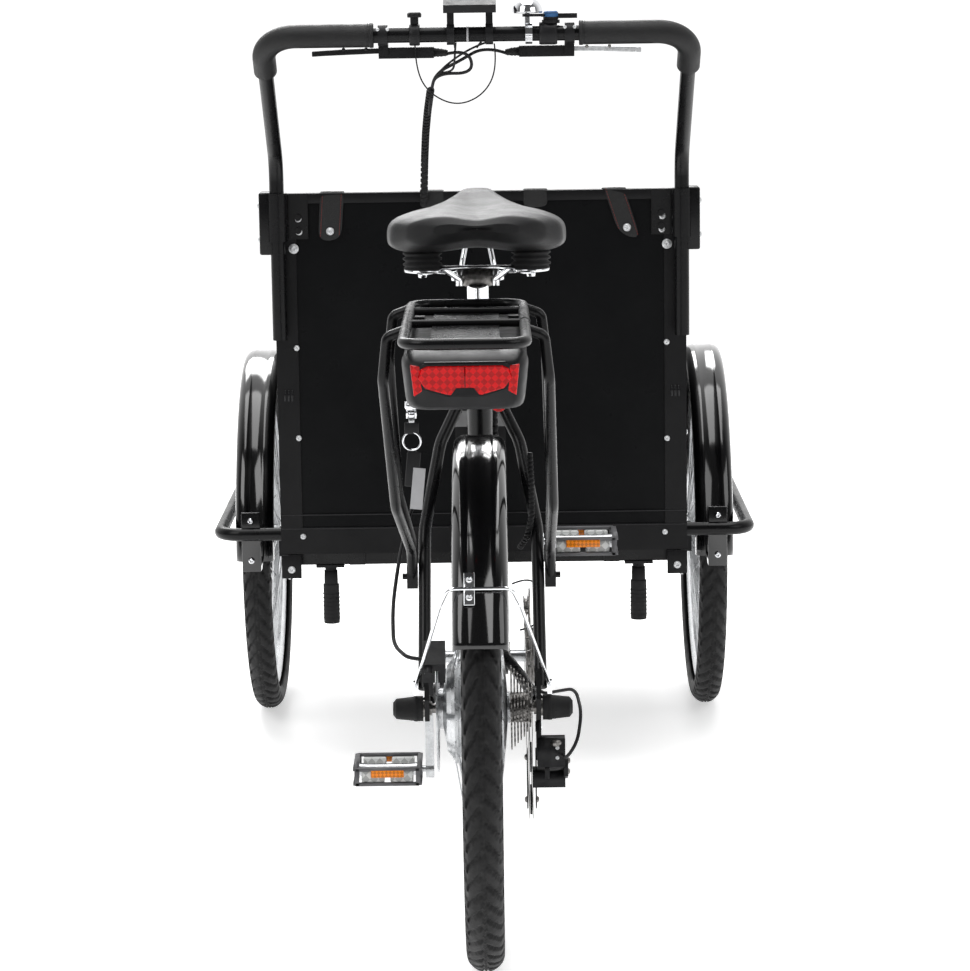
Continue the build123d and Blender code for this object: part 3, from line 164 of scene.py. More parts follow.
def leather(name, base, tone, rough, pebble=520, depth=0.0004):
    """Grained synthetic leather: pebbles between fine creases."""
    made = Nodes(name, base, 0.5, Specular_IOR_Level=0.28)
    creases = made.cells(pebble, "DISTANCE_TO_EDGE")
    made.link(made.mix(made.ramp(creases, 0.0, 0.12, 1.0, 0.0), base, tone), "Base Color")
    made.link(made.ramp(made.noise(40, 5), 0.3, 0.7, *rough), "Roughness")
    made.bump(made.ramp(creases, 0.0, 0.25, 0.0, 1.0), depth, 0.6)
    return made.material


def rubber(name, base, tone, rough):
    """Tyre rubber with dust in its pores."""
    made = Nodes(name, base, 0.7, Specular_IOR_Level=0.25)
    dust = made.ramp(made.noise(160, 8, 0.7), 0.45, 0.75, 0.0, 0.7)
    made.link(made.mix(dust, base, tone), "Base Color")
    made.link(made.ramp(made.noise(60), 0.3, 0.7, *rough), "Roughness")
    made.bump(made.noise(1800, 2), 0.0001)
    return made.material


def lens(name, base, rough=0.08, prism=170):
    """A moulded lens with a diamond pattern of prisms."""
    made = Nodes(name, base, rough, Coat_Weight=0.2, Coat_Roughness=0.05, Specular_IOR_Level=0.2)
    turned = made.add("ShaderNodeMapping", [("Vector", made.place), ("Rotation", (0.785, 0.0, 0.0))])
    tile = made.add("ShaderNodeTexChecker", [("Vector", turned.outputs["Vector"]), ("Scale", prism)])
    dark = tuple(channel * 0.6 for channel in base)
    made.link(made.mix(tile.outputs["Fac"], base, dark), "Base Color")
    made.bump(tile.outputs["Fac"], 0.0004, 0.5)
    return made.material


def make_materials():
    black = (0.006, 0.006, 0.0065)
    return {
        "frame_paint": paint("frame_paint", (0.003, 0.003, 0.0034), (0.005, 0.005, 0.0055),
            (0.22, 0.34), 0.00006, 0.05, 0.2),
        "guard_gloss": paint("guard_gloss", (0.0016, 0.0016, 0.0019), (0.0026, 0.0026, 0.003),
            (0.06, 0.12), 0.00002, 0.9),
        "board": paint("board", (0.0028, 0.0030, 0.0034), (0.0042, 0.0044, 0.0048), (0.26, 0.38),
            0.00008, 0.0, 0.07),
        "angle": paint("angle", (0.0048, 0.0048, 0.0053), (0.0075, 0.0075, 0.008), (0.3, 0.42),
            0.0001, 0.0, 0.14),
        "tyre": rubber("tyre", (0.0075, 0.0075, 0.008), (0.017, 0.0165, 0.016), (0.5, 0.72)),
        "bright": bare_metal("bright", (0.83, 0.84, 0.86), (0.72, 0.73, 0.75), (0.05, 0.13)),
        "alloy": bare_metal("alloy", (0.56, 0.57, 0.58), (0.44, 0.45, 0.46), (0.24, 0.38), 120),
        "zinc": plated("zinc", (0.72, 0.73, 0.74), (0.52, 0.53, 0.54), (0.25, 0.4)),
        "steel": bare_metal("steel", (0.28, 0.27, 0.26), (0.12, 0.115, 0.11), (0.26, 0.45), 200),
        "rubber": moulded("rubber", (0.009, 0.009, 0.0095), (0.015, 0.015, 0.0155), (0.62, 0.8)),
        "plastic": moulded("plastic", (0.006, 0.006, 0.0068), (0.011, 0.011, 0.012), (0.36, 0.52)),
        "saddle": leather("saddle", black, (0.015, 0.015, 0.016), (0.3, 0.42), 700, 0.00025),
        "upholstery": leather("upholstery", (0.006, 0.006, 0.0065), (0.016, 0.016, 0.016),
            (0.38, 0.52)),
        "lens": lens("lens", (0.6, 0.001, 0.003)),
        "dark_lens": lens("dark_lens", (0.2, 0.001, 0.002)),
        "amber": lens("amber", (0.85, 0.24, 0.01), 0.12, 260),
        "clear": lens("clear", (0.62, 0.63, 0.62), 0.1, 120),
        "pedal": moulded("pedal", (0.09, 0.09, 0.095), (0.14, 0.14, 0.145), (0.3, 0.45)),
        "thread": moulded("thread", (0.16, 0.022, 0.02), (0.22, 0.04, 0.035), (0.6, 0.8)),
        "tag": moulded("tag", (0.3, 0.3, 0.31), (0.4, 0.4, 0.41), (0.4, 0.6)),
        "blue": moulded("blue", (0.03, 0.1, 0.24), (0.04, 0.13, 0.3), (0.4, 0.55)),
        "screen": moulded("screen", (0.004, 0.004, 0.005), (0.006, 0.006, 0.007), (0.06, 0.1)),
        "foam": leather("foam", (0.006, 0.006, 0.0065), (0.013, 0.013, 0.0135), (0.42, 0.58), 900,
            0.0003),
    }


MATERIALS = make_materials()


def dress(obj, material):
    obj.data.materials.clear()
    obj.data.materials.append(MATERIALS[material])
    return obj


def dress_frame():
    """Every carried node takes the material of its slot in the record."""
    for part in frame["record"]["subparts"]:
        obj = NODES[part["node"]]
        dress(obj, part["material_slot"])


# ---------------------------------------------------------------- mesh helpers


def piece(name, verts, faces, material, body, replaced=(), smooth=True, slot=None):
    """A mesh from points and faces, dressed, riding on a body."""
    mesh = bpy.data.meshes.new(name)
    mesh.from_pydata([tuple(v) for v in verts], [], faces)
    mesh.validate()
    shell = bmesh.new()
    shell.from_mesh(mesh)
    bmesh.ops.recalc_face_normals(shell, faces=shell.faces)
    shell.to_mesh(mesh)
    shell.free()
    for face in mesh.polygons:
        face.use_smooth = smooth
    obj = bpy.data.objects.new(name, mesh)
    bpy.context.scene.collection.objects.link(obj)
    return place(obj, material, body, replaced, slot)


def place(obj, material, body, replaced=(), slot=None):
    dress(obj, material)
    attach(obj, body)
    if replaced:
        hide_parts(*replaced)
    return obj


SLOTS = {part["material_slot"]: part["material_slot"] for part in frame["record"]["subparts"]}
SLOTS.update({"dark_lens": "lens", "amber": "lens", "clear": "plastic", "thread": "upholstery"})
SLOTS.update({"tag": "plastic", "blue": "plastic", "screen": "plastic", "foam": "upholstery",
    "zinc": "bright"})


def grid_faces(rows, columns, wrap_rows=False, wrap_columns=True):
    faces = []
    for row in range(rows if wrap_rows else rows - 1):
        for column in range(columns if wrap_columns else columns - 1):
            after = (row + 1) % rows
            beside = (column + 1) % columns
            faces.append((row * columns + column, row * columns + beside,
                after * columns + beside, after * columns + column))
    return faces


def end_caps(rows, columns):
    """The first and the last row of a grid as two closing faces."""
    return [tuple(range(columns)), tuple(range((rows - 1) * columns, rows * columns))]


def lathe(name, centre, profile, steps, material, body, replaced=(), start=0.0, sweep=2 * math.pi,
    height=None):
    """Revolve (y offset, radius) pairs about a wheel axis; height(turn, y, r) may lift a point."""
    whole = sweep > 6.28
    count = steps if whole else steps + 1
    verts = []
    for step in range(count):
        turn = start + sweep * step / steps
        for along, out in profile:
            reach = out + (height(turn, along, out) if height else 0)
            verts.append(centre + Vector((reach * math.cos(turn), along, reach * math.sin(turn))))
    faces = grid_faces(count, len(profile), whole)
    if not whole:
        faces += end_caps(count, len(profile))
    return piece(name, verts, faces, material, body, replaced)


def rounded(obj, width, segments=3, angle=0.6):
    """Break the edges of a hard piece."""
    bevel = obj.modifiers.new("edges", "BEVEL")
    bevel.width = width
    bevel.segments = segments
    bevel.limit_method = "ANGLE"
    bevel.angle_limit = angle
    return obj


def slab(name, low, high, material, body, replaced=(), edge=0.001, turn=None):
    """A box with broken edges; turn is an optional matrix about its middle."""
    low, high = Vector(low), Vector(high)
    middle = (low + high) / 2
    half = (high - low) / 2
    verts = []
    for x in (-1, 1):
        for y in (-1, 1):
            for z in (-1, 1):
                corner = Vector((x * half.x, y * half.y, z * half.z))
                verts.append(middle + (turn @ corner if turn else corner))
    faces = [(0, 1, 3, 2), (4, 6, 7, 5), (0, 4, 5, 1), (2, 3, 7, 6), (0, 2, 6, 4), (1, 5, 7, 3)]
    return rounded(piece(name, verts, faces, material, body, replaced), edge)


def spun(name, start, end, profile, material, body, replaced=(), steps=40):
    """Revolve (share along, radius) pairs about the line from start to end."""
    start, end = Vector(start), Vector(end)
    along = end - start
    up = along.normalized()
    side = up.orthogonal().normalized()
    other = up.cross(side)
    verts = []
    for share, radius in profile:
        for step in range(steps):
            turn = 2 * math.pi * step / steps
            out = side * radius * math.cos(turn) + other * radius * math.sin(turn)
            verts.append(start + along * share + out)
    faces = grid_faces(len(profile), steps)
    faces += end_caps(len(profile), steps)
    return piece(name, verts, faces, material, body, replaced)


def dome_bolt(name, point, direction, radius, material, body):
    """A button-head bolt with a socket, standing on a face."""
    point, direction = Vector(point), Vector(direction).normalized()
    profile = [(0, 1.0), (0.12, 1.0), (0.55, 0.86), (0.85, 0.6), (0.95, 0.42), (0.6, 0.36), (0.5, 0.05)]
    shape = [(share, radius * out) for share, out in profile]
    return spun(name, point, point + direction * radius * 0.75, shape, material, body, steps=24)


def pipe(name, points, radius, material, body, replaced=(), steps=10):
    """A round cable along a smooth line through given points."""
    curve = bpy.data.curves.new(name, "CURVE")
    curve.dimensions = "3D"
    curve.bevel_depth = radius
    curve.bevel_resolution = 4
    curve.resolution_u = steps
    curve.use_fill_caps = True
    spline = curve.splines.new("NURBS")
    spline.points.add(len(points) - 1)
    for index, point in enumerate(points):
        spline.points[index].co = (*point, 1)
    spline.order_u = 3
    spline.use_endpoint_u = True
    obj = bpy.data.objects.new(name, curve)
    bpy.context.scene.collection.objects.link(obj)
    return place(obj, material, body, replaced)


def joined(name, objects, material, body, replaced=()):
    """Several small meshes as one piece."""
    verts, faces = [], []
    for obj in objects:
        first = len(verts)
        verts += [v.co.copy() for v in obj.data.vertices]
        faces += [tuple(first + i for i in face.vertices) for face in obj.data.polygons]
        mesh = obj.data
        bpy.data.objects.remove(obj)
        bpy.data.meshes.remove(mesh)
    return piece(name, verts, faces, material, body, replaced)


# ---------------------------------------------------------------- camera and light


def make_camera():
    """Behind the saddle, a little above it, with a long lens."""
    lens_mm = 114.9
    back, beside, high = 3.8235, -0.0226, 1.2601
    yaw, pitch, roll = 0.0042, 0.1668, -0.0141
    forward = Vector((math.cos(yaw) * math.cos(pitch), math.sin(yaw) * math.cos(pitch),
        -math.sin(pitch)))
    right = Vector((math.sin(yaw), -math.cos(yaw), 0))
    up = right.cross(forward)
    rolled_right = right * math.cos(roll) + up * math.sin(roll)
    rolled_up = up * math.cos(roll) - right * math.sin(roll)
    data = bpy.data.cameras.new("camera")
    data.lens = lens_mm
    data.clip_end = 60
    camera = bpy.data.objects.new("camera", data)
    bpy.context.scene.collection.objects.link(camera)
    turn = Matrix((rolled_right, rolled_up, -forward)).transposed().to_4x4()
    camera.matrix_world = Matrix.Translation((AXLE.x - back, beside, high)) @ turn
    bpy.context.scene.camera = camera


def area_light(name, where, towards, size, watts):
    data = bpy.data.lights.new(name, "AREA")
    data.shape = "RECTANGLE"
    data.size, data.size_y = size
    data.energy = watts
    light = bpy.data.objects.new(name, data)
    bpy.context.scene.collection.objects.link(light)
    light.location = where
    light.rotation_euler = (Vector(towards) - Vector(where)).to_track_quat("-Z", "Y").to_euler()


def make_studio():
    """A pale seamless floor under soft boxes."""
    scene = bpy.context.scene
    scene.view_settings.view_transform = "Standard"
    world = bpy.data.worlds.new("studio")
    scene.world = world
    world.use_nodes = True
    tree = world.node_tree
    background = tree.nodes["Background"]
    look = tree.nodes.new("ShaderNodeTexCoord").outputs["Generated"]
    split = tree.nodes.new("ShaderNodeSeparateXYZ")
    tree.links.new(look, split.inputs["Vector"])
    fade = tree.nodes.new("ShaderNodeMapRange")
    for socket, value in (("From Min", -0.35), ("From Max", 0.45), ("To Min", 0.10), ("To Max", 1.08)):
        fade.inputs[socket].default_value = value
    tree.links.new(split.outputs["X"], fade.inputs["Value"])
    tree.links.new(fade.outputs["Result"], background.inputs["Strength"])
    background.inputs["Color"].default_value = (1, 1, 1, 1)
    mesh = bpy.data.meshes.new("floor")
    reach = 14
    mesh.from_pydata([(-reach, -reach, 0), (reach, -reach, 0), (reach, reach, 0),
        (-reach, reach, 0)], [], [(0, 1, 2, 3)])
    floor = bpy.data.objects.new("floor", mesh)
    scene.collection.objects.link(floor)
    made = Nodes("floor", (0.93, 0.93, 0.93), 0.85)
    made.link(made.mix(made.ramp(made.noise(0.6), 0.3, 0.7, 0.0, 1.0), (0.93, 0.93, 0.93),
        (0.9, 0.9, 0.9)), "Base Color")
    made.set(made.shader, "Emission Color", (1, 1, 1, 1))
    made.set(made.shader, "Emission Strength", 0.5)
    mesh.materials.append(made.material)
    area_light("key", (-2.6, 2.2, 3.4), (0, 0, 0.5), (2.2, 2.2), 55)
    area_light("fill", (-2.4, -2.6, 2.6), (0, 0, 0.5), (2.4, 1.8), 30)
    area_light("front", (3.2, 0.6, 2.8), (0.2, 0, 0.5), (2.4, 1.6), 90)
    area_light("top", (0.2, 0, 4.2), (0.1, 0, 0), (3.2, 3.2), 110)


# ---------------------------------------------------------------- wheels and guards


def tyre_profile(radius, width, across=48, wall=0.003):
    """The outside of a tyre from bead to bead, then back along the inside."""
    centre = radius - width / 2
    wide = math.radians(128)
    outside, inside = [], []
    for index in range(across + 1):
        turn = -wide + 2 * wide * index / across
        outside.append((width / 2 * math.sin(turn), centre + width / 2 * math.cos(turn)))
        inside.append(((width / 2 - wall) * math.sin(turn),
            centre + (width / 2 - wall) * math.cos(turn)))
    return outside + inside[::-3]


def tread(radius, width, blocks):
    """Chevron grooves beside a centre rib, and knobs on the shoulders."""
    centre = radius - width / 2
    depth = 0.0034

    def height(turn, along, out):
        reach = out - centre
        if math.hypot(along, reach) < width / 2 - 0.001:
            return 0
        side = math.atan2(along, reach)
        spread = abs(side)
        phase = (turn * blocks / (2 * math.pi) - spread * 1.25 + (0.5 if side < 0 else 0)) % 1
        lift = 0.0
        if 0.16 < spread < 1.0 and phase < 0.3:
            lift -= depth
        if 0.05 < spread < 0.15:
            lift -= depth * 0.8
        if spread < 0.04 and (turn * blocks * 4 / (2 * math.pi)) % 1 < 0.5:
            lift -= depth * 0.3
        if 1.0 < spread < 1.32:
            lift += 0.0005 if (turn * blocks / (2 * math.pi)) % 1 < 0.55 else -0.0028
        if 1.5 < spread < 1.56 or 1.78 < spread < 1.82:
            lift += 0.0004
        return lift

    return height


def make_tyres():
    tyres = [("rear_tyre_tread", "rear_tyre", "rear_wheel", AXLE, REAR_RADIUS,
        REAR_HIGH.y - REAR_LOW.y, 68)]
    width = WHEEL_HIGH.y - WHEEL_LOW.y
    for name, side in SIDES:
        hub = Vector((FRONT_X, side * HALF_TRACK, FRONT_RADIUS))
        tyres.append((f"front_tyre_tread_{name}", f"front_tyre_{name}", f"front_wheel_{name}",
            hub, FRONT_RADIUS, width, 62))
    for name, node, body, centre, radius, width, blocks in tyres:
        shape = tread(radius - 0.0005, width, blocks)
        lathe(name, centre, tyre_profile(radius - 0.0005, width), blocks * 14, "tyre", body,
            (node,), height=shape)


def guard_profile(inner, width, strip):
    """A guard's rolled edges, round shoulders and flat middle strip, outside then inside."""
    half = width / 2
    skin = 0.0016
    outside = [(-half, inner - 0.016), (-half - 0.0006, inner - 0.0145), (-half, inner - 0.012)]
    for index in range(9):
        turn = math.pi / 2 * index / 8
        outside.append((-half + 0.014 * (1 - math.cos(turn)), inner - 0.0115 + 0.0125 * math.sin(turn)))
    outside += [(-strip - 0.001, inner + 0.0016), (-strip, inner + 0.0009)]
    outside += [(-y, out) for y, out in outside[::-1]]
    inside = [(y * (1 - skin / half), out - skin) for y, out in outside[::-1]]
    return outside + inside


def make_guards():
    low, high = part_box("rear_mudguard")
    inner = REAR_RADIUS + 0.014
    profile = guard_profile(inner, high.y - low.y, 0.013)
    lathe("rear_guard_shell", AXLE, profile, 90, "guard_gloss", "rear_frame", ("rear_mudguard",),
        math.radians(38), math.radians(117))
    plate = math.radians(143)
    out = Vector((math.cos(plate), 0, math.sin(plate)))
    along = Vector((-math.sin(plate), 0, math.cos(plate)))
    middle = AXLE + out * (inner + 0.0045) + Vector((0, 0.0125, 0))
    turn = Matrix((along, Vector((0, 1, 0)), out)).transposed()
    half = Vector((0.021, 0.0065, 0.0008))
    slab("guard_stay_plate", middle - half, middle + half, "bright", "rear_frame", turn=turn)
    for share in (-1, 1):
        foot = middle + along * 0.0115 * share
        dome_bolt(f"guard_screw_{share + 1}", foot, out, 0.0042, "bright", "rear_frame")


def make_front_guards():
    """Front guard shells; the brackets that hold them to the hoops are drawn again beside them."""
    inner = FRONT_RADIUS + 0.014
    bar_low, bar_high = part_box("wheel_hoops")
    bar_x = bar_low.x + 0.021
    for name, side in SIDES:
        hub = Vector((FRONT_X, side * HALF_TRACK, FRONT_RADIUS))
        profile = guard_profile(inner, 0.061, 0.012)
        replaced = ("front_mudguards",) if side > 0 else ()
        start, sweep = math.radians(28), math.radians(150)
        lathe(f"front_guard_shell_{name}", hub, profile, 90, "guard_gloss", "steer_box", replaced,
            start, sweep)
        y = side * HALF_TRACK
        slab(f"guard_bracket_{name}", (bar_x + 0.0002, y - 0.015, 0.306),
            (bar_x + 0.003, y + 0.015, 0.402), "guard_gloss", "steer_box")
        foot = (bar_x + 0.002, y - 0.015, 0.306)
        slab(f"guard_bracket_foot_{name}", foot, (hub.x - inner + 0.001, y + 0.015, 0.316),
            "guard_gloss", "steer_box")
        for number, z in enumerate((0.324, 0.388)):
            spot = (bar_x - 0.0002, y, z)
            dome_bolt(f"guard_bolt_{name}_{number}", spot, (-1, 0, 0), 0.0055, "bright", "steer_box")
        front = bar_high.x - 0.021
        slab(f"guard_front_strap_{name}", (front - 0.003, y - 0.015, 0.35),
            (front, y + 0.015, 0.476), "guard_gloss", "steer_box")
        reach = hub.x + inner * math.cos(math.radians(31))
        slab(f"guard_front_foot_{name}", (reach, y - 0.015, 0.471), (front, y + 0.015, 0.476),
            "guard_gloss", "steer_box")


# ---------------------------------------------------------------- saddle


def saddle_row(x):
    """Half width, top, bottom and valley depth of the saddle at x, in metres."""
    stations = ((-0.004, 0.052, 0.945, 0.930, 0.004), (0.004, 0.084, 0.954, 0.915, 0.008),
        (0.03, 0.108, 0.9575, 0.902, 0.007))
    stations += ((0.07, 0.1135, 0.958, 0.899, 0.008), (0.11, 0.103, 0.958, 0.901, 0.008),
        (0.15, 0.079, 0.9585, 0.905, 0.007))
    stations += ((0.19, 0.054, 0.963, 0.911, 0.006), (0.23, 0.035, 0.969, 0.917, 0.002),
        (0.265, 0.0275, 0.971, 0.921, 0.001))
    stations += ((0.29, 0.022, 0.967, 0.926, 0.001), (0.303, 0.014, 0.956, 0.932, 0.0),
        (0.308, 0.005, 0.944, 0.938, 0.0))
    for first, last in zip(stations, stations[1:]):
        if x <= last[0] or last is stations[-1]:
            share = min(1, max(0, (x - first[0]) / (last[0] - first[0])))
            return [a + (b - a) * share for a, b in zip(first, last)]


def make_saddle():
    rows, around = 64, 72
    verts = []
    for row in range(rows):
        share = row / (rows - 1)
        x = -0.004 + 0.312 * (0.5 - 0.5 * math.cos(math.pi * share))
        half, top, bottom, valley = saddle_row(x)[1:]
        middle = bottom + (top - bottom) * 0.42
        for step in range(around):
            turn = 2 * math.pi * step / around
            y = half * math.copysign(abs(math.cos(turn)) ** 0.66, math.cos(turn))
            rise = math.copysign(abs(math.sin(turn)) ** 0.62, math.sin(turn))
            z = middle + rise * ((top - middle) if rise > 0 else (middle - bottom))
            if rise > 0:
                z -= valley * math.exp(-(y / 0.022) ** 2) * rise
            else:
                z += (0.012 if half > 0.05 else 0.004) * (1 - abs(y) / max(half, 0.001)) ** 2 * -rise
            verts.append(Vector((AXLE.x + x, y, z)))
    faces = grid_faces(rows, around)
    faces += end_caps(rows, around)
    cover = piece("saddle_cover_padded", verts, faces, "saddle", "seat", ("saddle_cover",))
    cover.modifiers.new("smooth", "SMOOTH").iterations = 3
    cover.modifiers.new("round", "SUBSURF").levels = 1


def make_saddle_frame():
    """Plated rails and clamp under the saddle, with ribbed bellows over its two springs."""
    parts = []
    for name, side in SIDES:
        y = side * 22
        line = [at(48, y * 2, 886), at(70, y * 1.8, 880), at(118, y, 863), at(150, y, 862),
            at(230, y, 862), at(258, y, 864)]
        line += [at(272, y * 0.75, 890), at(284, y * 0.55, 914)]
        pipe(f"saddle_rail_{name}", line, 0.0035, "bright", "seat", steps=14)
        parts.append(slab("cheek", at(166, side * 24 - 4, 850), at(202, side * 24 + 4, 873),
            "bright", "seat", edge=0.003))
        y = side * 68
        shape = [(0, 0.0225), (0.08, 0.0240)]
        for rib in range(3):
            base = 0.14 + rib * 0.27
            shape += [(base, 0.0212), (base + 0.09, 0.0246), (base + 0.16, 0.0246),
                (base + 0.23, 0.0212)]
        shape += [(1, 0.0215)]
        spun(f"saddle_bellows_{name}", at(52, y, 883), at(52, y, 909), shape, "rubber", "seat")
        spun(f"spring_plate_{name}", at(52, y, 879.5), at(52, y, 883.5),
            [(0, 0.0195), (0.3, 0.0228), (1, 0.0232)], "bright", "seat")
        spun(f"spring_nut_{name}", at(52, y, 873), at(52, y, 880),
            [(0, 0.0055), (0.9, 0.0065), (1, 0.005)], "bright", "seat", steps=6)
        parts.append(slab("arm", at(44, min(y, side * 40), 877), at(60, max(y, side * 40), 880),
            "bright", "seat", edge=0.001))
    parts.append(slab("saddle_bridge", at(46, -50, 883), at(62, 50, 887), "bright", "seat",
        edge=0.0015))
    parts.append(slab("nose_plate", at(270, -18, 908), at(296, 18, 926), "steel", "seat", edge=0.002))
    joined("saddle_plates", parts, "bright", "seat", ("saddle_frame",))
    spun("saddle_clamp_body", at(184, -20, 861), at(184, 20, 861),
        [(0, 0.012), (0.1, 0.0135), (0.9, 0.0135), (1, 0.012)], "steel", "seat")
    spun("saddle_clamp_bolt", at(184, -34, 861), at(184, 34, 861),
        [(0, 0.005), (0.06, 0.0065), (0.1, 0.0065), (0.11, 0.004), (0.89, 0.004), (0.9, 0.0065),
        (1, 0.006)], "bright", "seat", steps=24)


# ---------------------------------------------------------------- battery and lamp


def outline_plate(name, points, x_back, x_front, material, body, edge=0.0006, replaced=()):
    """A flat plate with an outline in Y and Z, between two X planes."""
    count = len(points)
    verts = [Vector((x_back, y, z)) for y, z in points] + [Vector((x_front, y, z)) for y, z in points]
    faces = end_caps(2, count)
    faces += [(i, (i + 1) % count, count + (i + 1) % count, count + i) for i in range(count)]
    return rounded(piece(name, verts, faces, material, body, replaced, smooth=False), edge, 2)


def make_battery():
    """A moulded case with a bevelled back, the lamp in its middle and reflectors at its corners."""
    low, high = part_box("battery_case")
    lamp_low, lamp_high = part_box("tail_light")
    middle_y = (low.y + high.y) / 2
    half = (high.y - low.y) / 2
    bottom = high.z - 0.0705
    height = high.z - bottom
    # Sections from the front end to the back face: x, side inset, top drop, bottom rise.
    back = lamp_low.x + 0.002
    sections = ((high.x, 0.010, 0.008, 0.008), (high.x - 0.012, 0.001, 0.001, 0.001),
        (low.x + 0.05, 0.001, 0.001, 0.001))
    sections += ((low.x + 0.025, 0.0, 0.001, 0.002), (low.x + 0.008, 0.004, 0.006, 0.004),
        (back, 0.012, 0.013, 0.009))
    verts = []
    around = 48
    for x, inset, drop, rise in sections:
        top, base = high.z - drop, bottom + rise
        for step in range(around):
            turn = 2 * math.pi * step / around
            y = (half - inset) * math.copysign(abs(math.cos(turn)) ** 0.22, math.cos(turn))
            z = (top + base) / 2 + (top - base) / 2 * math.copysign(abs(math.sin(turn)) ** 0.3,
                math.sin(turn))
            y *= 1 - 0.10 * (1 - (z - bottom) / height)
            verts.append(Vector((x, middle_y + y, z)))
    faces = grid_faces(len(sections), around) + end_caps(len(sections), around)
    piece("battery_shell", verts, faces, "plastic", "battery", ("battery_case",))
    centre = (middle_y, (lamp_low.z + lamp_high.z) / 2 + 0.002)
    wide, tall = 0.0535, 0.0165

    def hexagon(scale_y, scale_z):
        shape = ((-1, 0.18), (-0.93, 0.82), (-0.8, 1), (0.8, 1), (0.93, 0.82), (1, 0.18),
            (0.84, -0.55), (0.36, -1), (-0.36, -1), (-0.84, -0.55))
        return [(centre[0] + y * wide * scale_y, centre[1] + z * tall * scale_z) for y, z in shape]

    face = lamp_low.x
    outline_plate("lamp_bezel", hexagon(1.07, 1.16), face + 0.0015, face + 0.012, "plastic", "battery")
    outline_plate("lamp_lens", hexagon(1, 1), face, face + 0.009, "lens", "battery", 0.0012,
        ("tail_light",))
    slab("lamp_divider", (face - 0.0006, centre[0] - 0.0008, centre[1] - 0.015),
        (face + 0.004, centre[0] + 0.0008, centre[1] + 0.0158), "dark_lens", "battery", edge=0.0003)
    notch = [(centre[0] - 0.017, centre[1] - 0.0178), (centre[0] - 0.010, centre[1] - 0.0085),
        (centre[0] + 0.010, centre[1] - 0.0085), (centre[0] + 0.017, centre[1] - 0.0178)]
    outline_plate("lamp_notch", notch, face - 0.0008, face + 0.006, "plastic", "battery")
    for name, side in SIDES:
        edge = centre[0] + side * (half - 0.012)
        inner = edge - side * 0.0115
        shape = [(edge, centre[1] + 0.018), (inner, centre[1] + 0.0165),
            (inner - side * 0.002, centre[1] - 0.012), (edge - side * 0.004, centre[1] - 0.018)]
        outline_plate(f"corner_reflector_{name}", shape, back - 0.0006, back + 0.014, "lens",
            "battery", 0.001)
    ridge_z = high.z - 0.0115
    for number in range(2):
        z = ridge_z - number * 0.0045
        slab(f"battery_ridge_{number}", (back - 0.0005, middle_y - 0.046, z),
            (back + 0.006, middle_y + 0.046, z + 0.0012), "plastic", "battery", edge=0.0005)
    lock = at(-250, 77, 757)
    spun("lock_barrel", lock + Vector((0, 0, 0.002)), lock - Vector((0, 0, 0.008)),
        [(0, 0.0078), (0.7, 0.0078), (1, 0.0062), (1, 0.003), (0.8, 0.0025)], "bright", "battery")
    small = [(middle_y - 0.038 - 0.008 * math.cos(2 * math.pi * i / 20),
        bottom + 0.001 + 0.0062 * math.sin(2 * math.pi * i / 20)) for i in range(20)]
    outline_plate("round_reflector", small, low.x + 0.05, low.x + 0.054, "lens", "battery")
    pin = at(-250, 77, 743)
    lugs = [slab("lug", pin + Vector((-0.003, side * 0.005 - 0.001, -0.004)),
        pin + Vector((0.003, side * 0.005 + 0.001, 0.0085)), "bright", "battery",
        edge=0.0006) for side in (1, -1)]
    joined("lock_lugs", lugs, "bright", "battery")
    spun("lock_pin", pin - Vector((0, 0.0062, 0)), pin + Vector((0, 0.0062, 0)),
        [(0, 0.0015), (1, 0.0015)], "bright", "battery", steps=20)


def make_key():
    """The key in its lock, with a split ring, a spare key and a tag hanging below."""
    ring_middle = at(-250, 77, 712)
    verts = []
    around, thick = 40, 10
    for step in range(around):
        turn = 2 * math.pi * step / around
        out = Vector((0.15 * math.cos(turn), math.cos(turn), math.sin(turn))).normalized()
        for small in range(thick):
            angle = 2 * math.pi * small / thick
            beside = Vector((0.0011 * math.sin(angle), 0, 0))
            verts.append(ring_middle + out * (0.0105 + 0.0011 * math.cos(angle)) + beside)
    piece("key_ring", verts, grid_faces(around, thick, True), "bright", "key", ("battery_key",))
    slab("key_blade", ring_middle + Vector((-0.001, -0.0032, 0.013)),
        ring_middle + Vector((0.001, 0.0032, 0.0295)), "bright", "key", edge=0.0004)
    eye = ring_middle + Vector((0, 0, 0.031))
    spun("key_eye", eye - Vector((0, 0.0036, 0)), eye + Vector((0, 0.0036, 0)),
        [(0, 0.0028), (0.2, 0.0033), (0.8, 0.0033), (1, 0.0028)], "bright", "key", steps=24)
    slab("key_head", ring_middle + Vector((-0.0014, -0.0085, 0.0085)),
        ring_middle + Vector((0.0014, 0.0085, 0.0225)), "plastic", "key", edge=0.003)
    lean = Matrix.Rotation(0.10, 3, "X")
    middle = ring_middle + Vector((0, -0.0005, -0.033))
    slab("spare_key", middle - Vector((0.0015, 0.008, 0.021)),
        middle + Vector((0.0015, 0.008, 0.021)), "plastic", "key", edge=0.002, turn=lean)
    middle = ring_middle + Vector((-0.0015, -0.006, -0.056))
    slab("key_tag", middle - Vector((0.0008, 0.0072, 0.0245)),
        middle + Vector((0.0008, 0.0072, 0.0245)), "tag", "key", edge=0.0005, turn=lean)


# ---------------------------------------------------------------- cushions and straps


